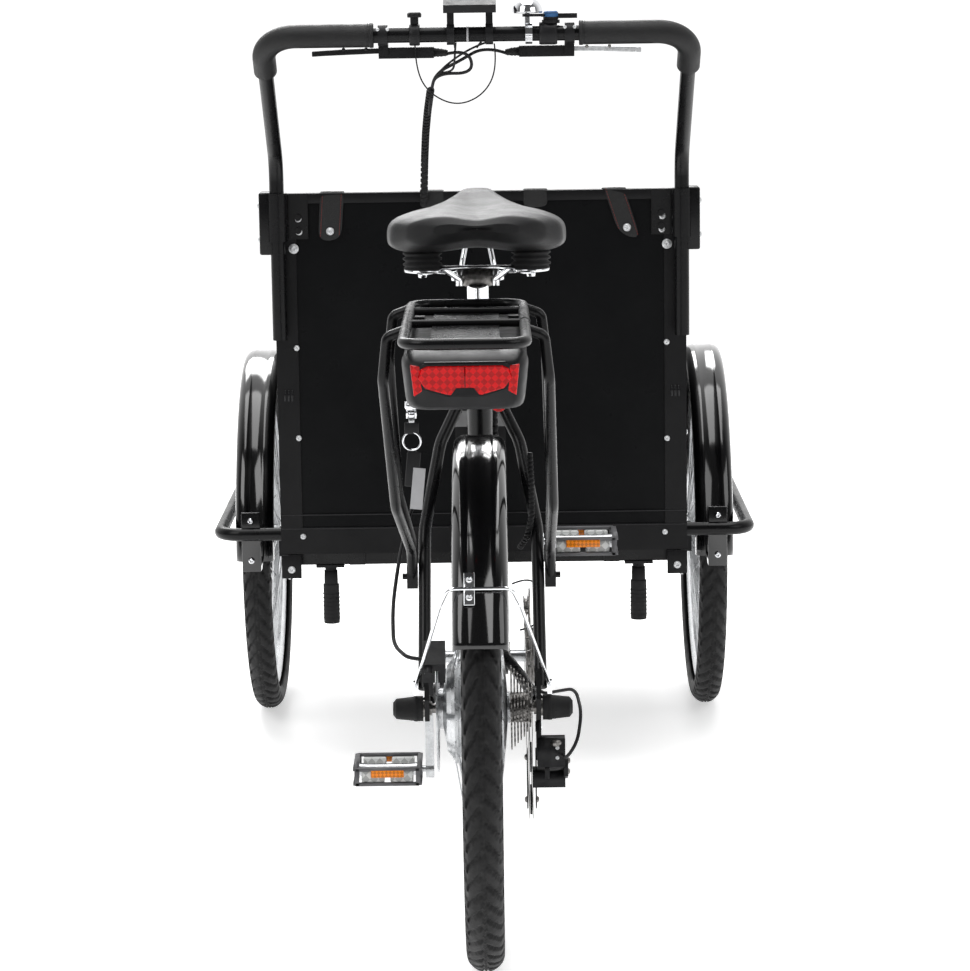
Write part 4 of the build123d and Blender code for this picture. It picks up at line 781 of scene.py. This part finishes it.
def make_pad(name, node, thin, channels):
    """A crowned cushion with sewn channels; thin is the axis through its thickness."""
    low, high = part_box(node)
    middle, half = (low + high) / 2, (high - low) / 2
    mesh = bpy.data.meshes.new(name)
    shell = bmesh.new()
    bmesh.ops.create_cube(shell, size=2.0)
    bmesh.ops.subdivide_edges(shell, edges=shell.edges, cuts=46, use_grid_fill=True)
    others = [axis for axis in range(3) if axis != thin]
    for vert in shell.verts:
        share = vert.co.copy()
        rim = max(abs(share[others[0]]), abs(share[others[1]]))
        pull = 1 - 0.34 * rim ** 10
        crown = 1 - 0.10 * (share[others[0]] ** 4 + share[others[1]] ** 4)
        groove = 0.0
        for line in channels:
            gap = (share[1] - line) * half.y
            groove = max(groove, math.exp(-(gap / 0.006) ** 2))
        corner = (abs(share[others[0]] * share[others[1]])) ** 8
        for axis in others:
            share[axis] *= 1 - 0.025 * corner - 0.02 * (1 - abs(share[thin])) * 0.4
        share[thin] *= pull * crown * (1 - 0.2 * groove)
        vert.co = Vector([middle[axis] + share[axis] * half[axis] * 0.985 for axis in range(3)])
    shell.to_mesh(mesh)
    shell.free()
    for face in mesh.polygons:
        face.use_smooth = True
    pad = bpy.data.objects.new(name, mesh)
    bpy.context.scene.collection.objects.link(pad)
    pad.modifiers.new("smooth", "SMOOTH").iterations = 4
    place(pad, "upholstery", "steer_box", (node,))


def make_cushions():
    lines = (-0.66, -0.33, 0.0, 0.33, 0.66)
    make_pad("seat_pad", "seat_cushion", 2, lines)
    make_pad("back_pad", "back_cushion", 0, lines)


STRAP_ROWS = ((226, 4, 74), (73, 0, 26), (-86, 0, 26), (-207, -18, 74))
STRAP_WIDE = 0.037


def make_straps():
    """Straps over the rear rail: outside tail with a snap, stitched down both edges."""
    outer = BOX_LOW.x - 0.0014
    inner = BOX_LOW.x + 0.0155
    top = BOX_HIGH.z + 0.0014
    thick = 0.0011
    for number, (y_mm, lean, drop) in enumerate(STRAP_ROWS):
        slope = math.tan(math.radians(lean))
        line = [(outer - 0.0006, top - drop * MM - 0.002, drop * MM * slope)]
        for share in (0.6, 0.25, 0.06):
            line.append((outer - 0.0004, top - drop * MM * share, drop * MM * share * slope))
        line += [(outer + 0.0015, top - 0.0003, 0), (outer + 0.007, top + 0.0006, 0),
            (inner - 0.003, top, 0)]
        line += [(inner, top - 0.003, 0), (inner + 0.0004, top - 0.03, 0),
            (inner + 0.0004, top - 0.107, 0)]
        verts = []
        across = 10
        for index, (x, z, shift) in enumerate(line):
            before, after = line[max(0, index - 1)], line[min(len(line) - 1, index + 1)]
            run = Vector((after[0] - before[0], 0, after[1] - before[1])).normalized()
            out = Vector((-run.z, 0, run.x))
            middle = Vector((x, y_mm * MM + shift, z))
            for side in (1, -1):
                for step in range(across):
                    share = (step / (across - 1) * 2 - 1) * side
                    soft = thick * (1 - 0.5 * abs(share) ** 6)
                    flat = Vector((0, 1, -slope if z < top - 0.004 and x < outer + 0.001 else 0)).normalized()
                    verts.append(middle + flat * share * STRAP_WIDE / 2 + out * side * soft)
        faces = grid_faces(len(line), 2 * across) + end_caps(len(line), 2 * across)
        replaced = ("cushion_straps",) if number == 0 else ()
        strap = piece(f"strap_{number}", verts, faces, "upholstery", "steer_box", replaced)
        strap.modifiers.new("round", "SUBSURF").levels = 1
        if lean:
            make_stitches(number, outer - 0.0019, y_mm * MM, top, drop * MM, slope)
            snap_z = top - (drop - 14) * MM
            spot = (outer - 0.0016, y_mm * MM + (drop - 14) * MM * slope, snap_z)
            dome_bolt(f"strap_snap_{number}", spot, (-1, 0, 0), 0.0062, "zinc", "steer_box")


def make_stitches(number, x, y, top, drop, slope):
    """Dashes of thread along both edges."""
    dashes = []
    for side in (-1, 1):
        for step in range(16):
            down = drop * (0.08 + 0.86 * step / 16)
            middle = Vector((x, y + side * 0.0145 + down * slope, top - down + side * 0.0145 * -slope))
            run = Vector((0, -slope, 1)).normalized() * 0.0014
            dashes.append(spun("dash", middle - run, middle + run,
                [(0, 0.0001), (0.2, 0.0004), (0.8, 0.0004), (1, 0.0001)], "thread", "steer_box",
                steps=6))
    joined(f"strap_thread_{number}", dashes, "thread", "steer_box")


# ---------------------------------------------------------------- handlebar controls


BAR_LOW, BAR_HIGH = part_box("handlebar_tube")
BAR_X = BAR_LOW.x + 0.0111
BAR_Z = BAR_HIGH.z - 0.0111


def bar_ring(name, y, width, radius, material="plastic", edge=0.0008):
    """A collar round the cross tube."""
    shape = [(0, 0.0112), (0, radius - edge), (0.12, radius), (0.88, radius), (1, radius - edge),
        (1, 0.0112)]
    start = Vector((BAR_X, y - width / 2, BAR_Z))
    return spun(name, start, start + Vector((0, width, 0)), shape, material, "handlebar")


def make_grips():
    """Stitched end rings and the seam under each foam grip."""
    for name, side in SIDES:
        bar_ring(f"grip_ring_{name}", side * 0.1515, 0.006, 0.0178, "foam")
        dashes = []
        for step in range(30):
            turn = 2 * math.pi * step / 30
            out = Vector((math.cos(turn), 0, math.sin(turn)))
            middle = Vector((BAR_X, side * 0.1565, BAR_Z)) + out * 0.0172
            run = Vector((-math.sin(turn), 0, math.cos(turn))) * 0.0011
            dashes.append(spun("dash", middle - run, middle + run,
                [(0, 0.0001), (0.3, 0.0004), (0.7, 0.0004), (1, 0.0001)], "foam", "handlebar", steps=5))
        joined(f"grip_thread_{name}", dashes, "foam", "handlebar")
        seam = []
        for step in range(22):
            y = side * (0.160 + step * 0.0045)
            seam.append((BAR_X - 0.0065, y, BAR_Z - 0.0158 - 0.0002 * (step % 2)))
        pipe(f"grip_seam_{name}", seam, 0.0007, "foam", "handlebar")


def make_controls():
    """The levers, bell and buttons that stand along the cross tube."""
    for name, side in SIDES:
        x, z = BAR_X + 0.034, BAR_Z - 0.026
        shape = [(0, 0.0062), (0.1, 0.0068), (0.3, 0.0058), (0.35, 0.0066), (0.5, 0.0054),
            (0.56, 0.0061), (0.8, 0.0046), (1, 0.004)]
        spun(f"lever_boot_{name}", (x - 0.007, side * 0.064, z),
            (x - 0.010, side * 0.042, z - 0.001), shape, "rubber", "handlebar")
        for number, y in enumerate((0.128, 0.142)):
            dome_bolt(f"lever_clamp_bolt_{name}_{number}",
                (BAR_X - 0.012, side * y, BAR_Z + 0.0085), (-1, 0, 0.5), 0.0028, "zinc", "handlebar")
    bar_ring("mark_ring", 0.0125, 0.0028, 0.01125, "tag", 0.0001)
    low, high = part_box("bell")
    middle = Vector(((low.x + high.x) / 2, (low.y + high.y) / 2, 0))
    shape = [(0, 0.0215), (0.04, 0.0225), (0.1, 0.0222), (0.3, 0.0214), (0.5, 0.0197),
        (0.7, 0.0163), (0.85, 0.0122), (0.94, 0.0078), (0.97, 0.0045), (1.02, 0.0045), (1.05, 0.003)]
    spun("bell_cup", (middle.x, middle.y, high.z - 0.0215), (middle.x, middle.y, high.z + 0.0004),
        shape, "bright", "handlebar", steps=64)
    low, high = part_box("display")
    for number, y in enumerate((high.y - 0.012, low.y + 0.012)):
        pipe(f"display_wire_{number}", [(BAR_X + 0.010, y, high.z - 0.03),
            (BAR_X + 0.013, y + 0.002, BAR_Z + 0.024), (BAR_X + 0.016, y - 0.002, BAR_Z + 0.002),
            (BAR_X + 0.02, y * 0.6 + 0.01, BAR_Z - 0.02)], 0.0016, "plastic", "handlebar")
    low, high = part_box("shift_lever")
    middle = Vector((BAR_X, -0.108, high.z))
    spun("shift_cap", middle - Vector((0, 0, 0.006)), middle + Vector((0, 0, 0.0022)),
        [(0, 0.0112), (0.6, 0.0112), (1, 0.009)], "blue", "shift_lever")
    low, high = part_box("thumb_control")
    middle = Vector((BAR_X, 0.089, high.z))
    spun("thumb_cap", middle - Vector((0, 0, 0.0062)), middle + Vector((0, 0, 0.0012)),
        [(0, 0.0098), (0.2, 0.0104), (0.7, 0.0104), (1, 0.0085)], "plastic", "thumb_control")
    bar_ring("shifter_barrel", -0.104, 0.026, 0.0165)
    bar_ring("thumb_barrel", 0.089, 0.015, 0.0155)


def make_bar_cables():
    """Hoses and wires from the controls, gathered in a spiral wrap down to the box."""
    start_z = BAR_Z - 0.028
    gather = Vector((BAR_X + 0.075, 0.0685, BAR_Z - 0.085))
    starts = {
        "hose_left": [(BAR_X + 0.024, 0.042, start_z), (BAR_X + 0.03, 0.012, start_z + 0.006),
            (BAR_X + 0.045, 0.004, start_z - 0.03)],
        "hose_right": [(BAR_X + 0.024, -0.042, start_z), (BAR_X + 0.034, -0.012, start_z + 0.010),
            (BAR_X + 0.045, 0.026, start_z - 0.012)],
        "wire_display": [(BAR_X + 0.02, 0.03, BAR_Z - 0.012),
            (BAR_X + 0.03, 0.032, BAR_Z - 0.035), (BAR_X + 0.05, 0.034, BAR_Z - 0.055)],
        "wire_shift": [(BAR_X + 0.018, -0.09, BAR_Z - 0.008),
            (BAR_X + 0.03, -0.045, BAR_Z - 0.004), (BAR_X + 0.04, 0.01, BAR_Z - 0.02)],
    }
    for name, points in starts.items():
        thick = 0.0024 if name.startswith("hose") else 0.0016
        pipe(name, points + [gather + Vector((-0.02, -0.008, 0.028)), gather,
            gather + Vector((0.03, 0.003, -0.035))], thick, "plastic", "handlebar", steps=16)
    loop = [(BAR_X + 0.01, 0.089, BAR_Z - 0.012), (BAR_X + 0.012, 0.0885, BAR_Z - 0.05),
        (BAR_X + 0.014, 0.07, BAR_Z - 0.085)]
    loop += [(BAR_X + 0.016, 0.030, BAR_Z - 0.104), (BAR_X + 0.014, -0.010, BAR_Z - 0.088),
        (BAR_X + 0.012, -0.030, BAR_Z - 0.05), (BAR_X + 0.012, -0.026, BAR_Z - 0.014)]
    pipe("thin_loop", loop, 0.0011, "plastic", "handlebar", steps=20)
    line = [gather + Vector((-0.004, 0.0, 0.004)), Vector((BAR_X + 0.12, 0.0745, BAR_Z - 0.115)),
        Vector((BAR_X + 0.17, 0.079, BAR_Z - 0.15))]
    line += [Vector((BOX_LOW.x - 0.022, 0.0825, BAR_Z - 0.195)),
        Vector((BOX_LOW.x - 0.012, 0.084, BOX_HIGH.z + 0.012))]
    line += [Vector((BOX_LOW.x - 0.011, 0.085, BOX_HIGH.z - 0.018))]
    pipe("harness_core", line, 0.0046, "plastic", "handlebar", ("bar_harness",))
    make_spiral("harness_wrap", line, 0.0058, 30, "handlebar")


def make_spiral(name, line, radius, turns, body):
    """A flat spiral wrap round a bundle that follows straight runs."""
    lengths = [0.0]
    for first, last in zip(line, line[1:]):
        lengths.append(lengths[-1] + (last - first).length)
    steps = turns * 14

    def spot(share):
        reach = share * lengths[-1]
        for index, (before, after) in enumerate(zip(lengths, lengths[1:])):
            if reach <= after or index == len(lengths) - 2:
                part = (reach - before) / (after - before)
                return line[index].lerp(line[index + 1], part)

    verts = []
    for step in range(steps + 1):
        share = step / steps
        soft = 0.05
        middle = (spot(max(0, share - soft)) + spot(share) * 2 + spot(min(1, share + soft))) / 4
        ahead = (spot(min(1, share + soft)) - spot(max(0, share - soft))).normalized()
        side = ahead.cross(Vector((0, 1, 0))).normalized()
        other = ahead.cross(side)
        turn = 2 * math.pi * turns * share
        out = side * math.cos(turn) + other * math.sin(turn)
        pitch = lengths[-1] / turns
        for along, lift in ((-0.36, -0.0009), (-0.3, 0.0002), (0.3, 0.0002), (0.36, -0.0009)):
            verts.append(middle + ahead * pitch * along + out * (radius + lift))
    piece(name, verts, grid_faces(steps + 1, 4, False, True), "rubber", body)


# ---------------------------------------------------------------- cargo box hardware


BAND_HALF = 0.3165
FOOT_Y = 0.302
LEG_Y = 0.243
REAR_FACE = BOX_LOW.x


def make_box_hardware():
    """Bolts, brackets, seams and slots on the steered box."""
    pairs = ((279, 877), (278, 857), (287, 831), (-281, 874), (-280, 854), (-288, 831))
    for number, (y, z) in enumerate(pairs):
        spun(f"clamp_washer_{number}", (REAR_FACE - 0.0002, y * MM, z * MM),
            (REAR_FACE - 0.0015, y * MM, z * MM), [(0, 0.0078), (1, 0.0074)], "zinc", "steer_box",
            steps=24)
        dome_bolt(f"clamp_bolt_{number}", (REAR_FACE - 0.0014, y * MM, z * MM), (-1, 0, 0),
            0.0056, "zinc", "steer_box")
    heads = ((286, 677), (286, 536), (283, 380), (-287, 679), (-287, 528), (-283, 380))
    for number, (y, z) in enumerate(heads):
        dome_bolt(f"angle_bolt_{number}", (REAR_FACE - 0.0003, y * MM, z * MM), (-1, 0, 0),
            0.0045, "zinc", "steer_box")
    for name, side in SIDES:
        wall = side * (BOX_HIGH.y + 0.0003)
        for number, (x, z) in enumerate(((975, 533), (975, 700), (975, 395), (1400, 395),
            (1790, 395), (1790, 560), (1790, 700))):
            dome_bolt(f"side_bolt_{name}_{number}", (at(x, 0, 0).x, wall, z * MM), (0, side, 0),
                0.0045, "zinc", "steer_box")
        slots = []
        for number in range(3):
            y = side * 0.300 + (number - 1) * 0.0055
            slots.append(slab("slot", (REAR_FACE - 0.0012, y - 0.0016, 0.594),
                (REAR_FACE + 0.0006, y + 0.0016, 0.612), "screen", "steer_box", edge=0.0007))
        joined(f"drain_slots_{name}", slots, "screen", "steer_box")
        y = side * 0.327
        slab(f"sleeve_bracket_{name}", (REAR_FACE - 0.026, y - 0.0105, 0.824),
            (REAR_FACE + 0.014, y + 0.0105, 0.9195), "frame_paint", "steer_box", edge=0.003)
        for number, z in enumerate((0.846, 0.898)):
            dome_bolt(f"sleeve_bolt_{name}_{number}", (REAR_FACE - 0.010, side * 0.3374, z),
                (0, side, 0), 0.005, "zinc", "steer_box")
        slab(f"corner_foot_{name}", (REAR_FACE - 0.0035, side * FOOT_Y - 0.0155, 0.314),
            (REAR_FACE + 0.0005, side * FOOT_Y + 0.0155, 0.351), "angle", "steer_box", edge=0.0008)
        dome_bolt(f"corner_bolt_{name}", (REAR_FACE - 0.0034, side * FOOT_Y, 0.328), (-1, 0, 0),
            0.0058, "zinc", "steer_box")
    for number, z in enumerate((0.4142, 0.3925)):
        slab(f"band_seam_{number}", (REAR_FACE - 0.0007, -BAND_HALF, z - 0.0011),
            (REAR_FACE + 0.0005, BAND_HALF, z + 0.0011), "screen", "steer_box", edge=0.0004)
    slab("top_rail", (REAR_FACE - 0.0022, -BAND_HALF, 0.9005),
        (REAR_FACE + 0.0004, BAND_HALF, 0.9158), "angle", "steer_box", edge=0.001)


def make_front_brackets():
    """Screws through the mudguard plates."""
    for name, side in SIDES:
        y = side * HALF_TRACK
        for number, z in enumerate((0.391, 0.333)):
            dome_bolt(f"guard_screw_{name}_{number}", (at(1050.4, 0, 0).x, y + side * 0.006, z),
                (-1, 0, 0), 0.0048, "zinc", "steer_box")


def make_feet():
    """Ribbed rubber sleeves over the two parking legs."""
    for name, side in SIDES:
        x = at(985, 0, 0).x
        shape = [(0, 0.0105), (0.02, 0.0125), (0.06, 0.0128), (0.62, 0.0124), (0.66, 0.0112),
            (0.8, 0.0108), (1, 0.0105)]
        spun(f"leg_sleeve_{name}", (x, side * LEG_Y, 0.2345), (x, side * LEG_Y, 0.318), shape,
            "rubber", "steer_box")
        for number in range(7):
            z = 0.242 + number * 0.0065
            spun(f"leg_rib_{name}_{number}", (x, side * LEG_Y, z - 0.0012),
                (x, side * LEG_Y, z + 0.0012),
                [(0, 0.0121), (0.3, 0.0133), (0.7, 0.0133), (1, 0.0121)], "rubber", "steer_box",
                steps=28)


# ---------------------------------------------------------------- pedals and drive


def make_pedals():
    """Alloy cages round clear blocks, with an amber reflector at each end."""
    for name in ("left", "right"):
        low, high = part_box(f"pedal_{name}")
        body = f"pedal_{name}"
        middle = (low + high) / 2
        half = (high - low) / 2
        parts = []
        for end in (-1, 1):
            x = middle.x + end * (half.x - 0.0035)
            for rise in (-1, 1):
                z = middle.z + rise * (half.z - 0.0022)
                parts.append(slab("bar", (x - 0.0034, low.y + 0.005, z - 0.0021),
                    (x + 0.0034, high.y - 0.005, z + 0.0021), "pedal", body, edge=0.0008))
            for share in (-1, 1):
                y = middle.y + share * (half.y - 0.0065)
                parts.append(slab("post", (x - 0.0034, y - 0.0032, low.z + 0.0008),
                    (x + 0.0034, y + 0.0032, high.z - 0.0008), "pedal", body, edge=0.0008))
        for share in (-1, 1):
            y = middle.y + share * (half.y - 0.0046)
            for rise in (-1, 1):
                z = middle.z + rise * (half.z - 0.0024)
                parts.append(slab("rail", (low.x + 0.004, y - 0.0036, z - 0.0023),
                    (high.x - 0.004, y + 0.0036, z + 0.0023), "pedal", body, edge=0.0009))
            parts.append(slab("web", (middle.x - 0.014, y - 0.003, low.z + 0.002),
                (middle.x + 0.014, y + 0.003, high.z - 0.002), "pedal", body, edge=0.0009))
        joined(f"pedal_cage_{name}", parts, "pedal", body, (f"pedal_{name}",))
        spun(f"pedal_barrel_{name}", (middle.x, low.y + 0.003, middle.z),
            (middle.x, high.y - 0.003, middle.z),
            [(0, 0.0088), (0.06, 0.0095), (0.2, 0.0082), (0.8, 0.0082), (0.94, 0.0095),
            (1, 0.0088)], "alloy", body)
        for end, word in ((-1, "rear"), (1, "front")):
            x = middle.x + end * (half.x - 0.010)
            for part, share in (("inner", -1), ("outer", 1)):
                y = middle.y + share * 0.0205
                slab(f"pedal_block_{name}_{word}_{part}",
                    (x - 0.0065, y - 0.0165, low.z + 0.0042),
                    (x + 0.0065, y + 0.0165, high.z - 0.0042), "clear", body, edge=0.0022)
            face = middle.x + end * (half.x + 0.0008)
            z = middle.z + 0.0046
            near, far = sorted((face, face - end * 0.004))
            slab(f"pedal_amber_{name}_{word}", (near, middle.y - 0.0235, z - 0.0052),
                (far, middle.y + 0.0235, z + 0.0052), "amber", body, edge=0.001)


def make_axle_caps():
    """Ribbed rubber covers over the axle nuts."""
    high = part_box("axle_caps")[1]
    for name, side in SIDES:
        end = side * high.y
        start = side * 0.0805
        shape = [(0, 0.0158), (0.1, 0.0163)]
        for number in range(5):
            share = 0.14 + number * 0.13
            shape += [(share, 0.0162 - number * 0.0011), (share + 0.06, 0.0162 - number * 0.0011),
                (share + 0.08, 0.0145 - number * 0.0012)]
        shape += [(0.86, 0.0098), (0.96, 0.0085), (1, 0.005)]
        spun(f"axle_cover_{name}", (AXLE.x, start, AXLE.z), (AXLE.x, end, AXLE.z), shape,
            "rubber", "rear_frame")


def make_chain():
    """Outer plates along the chain's outline."""
    plates = []
    front = at(478, -60, 290)
    back = at(0, -60, REAR_RADIUS * 1000)
    radius_front, radius_back = 0.0850, 0.0445
    run = (front - back).length
    lift = math.asin((radius_front - radius_back) / run)
    axis = math.atan2(front.z - back.z, front.x - back.x)
    count = int(run / 0.0127)
    for number in range(count):
        share = (number + 0.5) / count
        normal = Vector((-math.sin(axis + lift), 0, math.cos(axis + lift)))
        spot = (back + normal * radius_back).lerp(front + normal * radius_front, share)
        if number % 2:
            along = (front + normal * radius_front - back - normal * radius_back).normalized()
            turn = Matrix.Rotation(-math.atan2(along.z, along.x), 3, "Y")
            for side in (-1, 1):
                plates.append(slab("plate", spot + Vector((-0.0074, side * 0.0034 - 0.0005,
                    -0.0036)), spot + Vector((0.0074, side * 0.0034 + 0.0005, 0.0036)), "steel",
                    "rear_frame", edge=0.0004, turn=turn))
    joined("chain_plates", plates, "steel", "rear_frame")


def make_derailleur():
    """Cage plates and their bolts over the plain mechanism."""
    upper, lower = at(12, -60, 263), at(28, -60, 203)
    for name, y in (("inner", -0.0555), ("outer", -0.0665)):
        shape = []
        for centre, radius, first in ((upper, 0.012, 90), (lower, 0.012, 270)):
            for step in range(9):
                turn = math.radians(first - 90 + 22.5 * step)
                shape.append((centre.x + radius * math.cos(turn), centre.z + radius * math.sin(turn)))
        verts = [Vector((x, y + lift, z)) for lift in (-0.0008, 0.0008) for x, z in shape]
        count = len(shape)
        faces = grid_faces(2, count) + end_caps(2, count)
        rounded(piece(f"cage_{name}", verts, faces, "frame_paint", "rear_frame", smooth=False),
            0.0003, 2)
        for number, centre in enumerate((upper, lower)):
            dome_bolt(f"cage_bolt_{name}_{number}",
                (centre.x, y + (-0.0008 if y < -0.06 else 0.0008), centre.z),
                (0, -1 if y < -0.06 else 1, 0), 0.0042, "steel", "rear_frame")


# ---------------------------------------------------------------- levers and mechanism


def swept_plate(name, outline, thickness, material, body, replaced=(), edge=0.0012):
    """A flat lever cut to an outline in plan (x, y) at one height, with broken edges."""
    count = len(outline)
    verts = [Vector((x, y, z + lift)) for lift in (-thickness / 2, thickness / 2) for x, y,
        z in outline]
    faces = grid_faces(2, count) + end_caps(2, count)
    return rounded(piece(name, verts, faces, material, body, replaced, smooth=False), edge, 3)


def make_blades():
    """Two-finger brake levers, curved towards the bar, with a curled tip."""
    for name, side, material in (("left", 1, "plastic"), ("right", -1, "zinc")):
        low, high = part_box(f"brake_blade_{name}")
        z = (low.z + high.z) / 2
        x0, x1 = low.x, high.x
        near, far = (low.y, high.y) if side > 0 else (high.y, low.y)
        outer, inner = [], []
        steps = 22
        for step in range(steps + 1):
            share = step / steps
            y = near + (far - near) * share
            bow = math.sin(math.pi * share) * 0.004 - 0.005 * share ** 3
            middle = x0 + (x1 - x0) * 0.52 + bow * 0.6 - 0.002
            half = 0.0088 - 0.0042 * share + (0.0016 if share > 0.93 else 0)
            if step in (0, steps):
                half *= 0.62
            drop = z - 0.0035 * share ** 2 + 0.003
            outer.append((min(middle + half, x1), y, drop))
            inner.append((max(middle - half, x0), y, drop))
        swept_plate(f"blade_{name}", outer + inner[::-1], 0.0078, material, f"brake_{name}",
            (f"brake_blade_{name}",))
        for number, share in enumerate((0.35, 0.62)):
            spot = Vector((x0 + (x1 - x0) * 0.5, near + (far - near) * share, z + 0.0058))
            dimple = "screen" if side > 0 else "steel"
            spun(f"blade_dimple_{name}_{number}", spot - Vector((0.0045, 0, 0)),
                spot - Vector((0.0085, 0, 0.0001)), [(0, 0.002), (1, 0.0026)], dimple,
                f"brake_{name}", steps=20)


def make_mechanism():
    """The derailleur's knuckles, link plates and adjusting screws in place of its plain block."""
    x, y = AXLE.x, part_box("derailleur")[0].y
    parts = [
        slab("hanger", (x - 0.008, -0.0735, 0.268), (x + 0.012, -0.067, 0.318), "frame_paint",
            "rear_frame", edge=0.003),
        slab("outer_link", (x - 0.012, y + 0.0005, 0.238), (x + 0.024, y + 0.006, 0.264),
            "plastic", "rear_frame", edge=0.0025, turn=Matrix.Rotation(0.35, 3, "Y")),
        slab("inner_link", (x - 0.010, y + 0.024, 0.236), (x + 0.022, y + 0.030, 0.262),
            "plastic", "rear_frame", edge=0.0025, turn=Matrix.Rotation(0.35, 3, "Y")),
        slab("knuckle_front", (x - 0.001, y + 0.004, 0.226), (x + 0.030, -0.062, 0.246),
            "plastic", "rear_frame", edge=0.005),
        slab("knuckle_rear", (x - 0.013, y + 0.004, 0.256), (x + 0.010, -0.068, 0.292), "plastic",
            "rear_frame", edge=0.005),
    ]
    joined("derailleur_body", parts, "plastic", "rear_frame", ("derailleur",))
    spun("hanger_bolt", (x + 0.003, -0.0745, 0.305), (x + 0.003, -0.066, 0.305),
        [(0, 0.005), (0.2, 0.0068), (1, 0.0068)], "bright", "rear_frame")
    for number, (along, z) in enumerate(((-0.013, 0.268), (-0.013, 0.281))):
        dome_bolt(f"limit_screw_{number}", (x + along, y + 0.014, z), (-1, 0, 0), 0.0026, "zinc",
            "rear_frame")
    for number, (along, z) in enumerate(((-0.004, 0.262), (0.014, 0.243))):
        dome_bolt(f"link_pin_{number}", (x + along, y + 0.0006, z), (0, -1, 0), 0.0042, "steel",
            "rear_frame")
    spun("barrel_adjuster", (x - 0.012, y + 0.018, 0.286), (x - 0.030, y + 0.012, 0.292),
        [(0, 0.0045), (0.5, 0.0045), (0.52, 0.0036), (1, 0.003)], "steel", "rear_frame")


# ---------------------------------------------------------------- cables on the frame


def make_frame_cables():
    """The motor lead and the carrier lead in spiral wrap, and a thin loop of wire."""
    low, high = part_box("controller_box")
    line = [Vector((low.x - 0.006, -0.018, high.z + 0.03)),
        Vector((low.x - 0.010, -0.020, high.z - 0.03))]
    line += [Vector((low.x - 0.012, -0.021, low.z + 0.06)),
        Vector((low.x - 0.010, -0.020, low.z - 0.02)), Vector((low.x + 0.004, -0.017, low.z - 0.10))]
    pipe("motor_lead", line, 0.0036, "plastic", "rear_frame")
    make_spiral("motor_lead_wrap", line, 0.0046, 34, "rear_frame")
    line = [at(110, -64, 640), at(108, -66, 600), at(106, -66, 560), at(110, -60, 530),
        at(130, -50, 512)]
    pipe("carrier_lead", line, 0.0028, "plastic", "rear_frame")
    make_spiral("carrier_lead_wrap", line, 0.0038, 24, "rear_frame")
    loop = [at(300, -40, 430), at(296, -62, 440), at(292, -78, 425), at(290, -82, 395),
        at(292, -72, 372), at(300, -50, 366)]
    pipe("thin_frame_loop", loop, 0.0013, "plastic", "rear_frame", steps=16)


dress_frame()
make_camera()
make_studio()
make_tyres()
make_guards()
make_front_guards()
make_saddle()
make_saddle_frame()
make_battery()
make_key()
make_cushions()
make_straps()
make_grips()
make_controls()
make_bar_cables()
make_box_hardware()
make_front_brackets()
make_feet()
make_pedals()
make_axle_caps()
make_chain()
make_derailleur()
make_blades()
make_mechanism()
make_frame_cables()
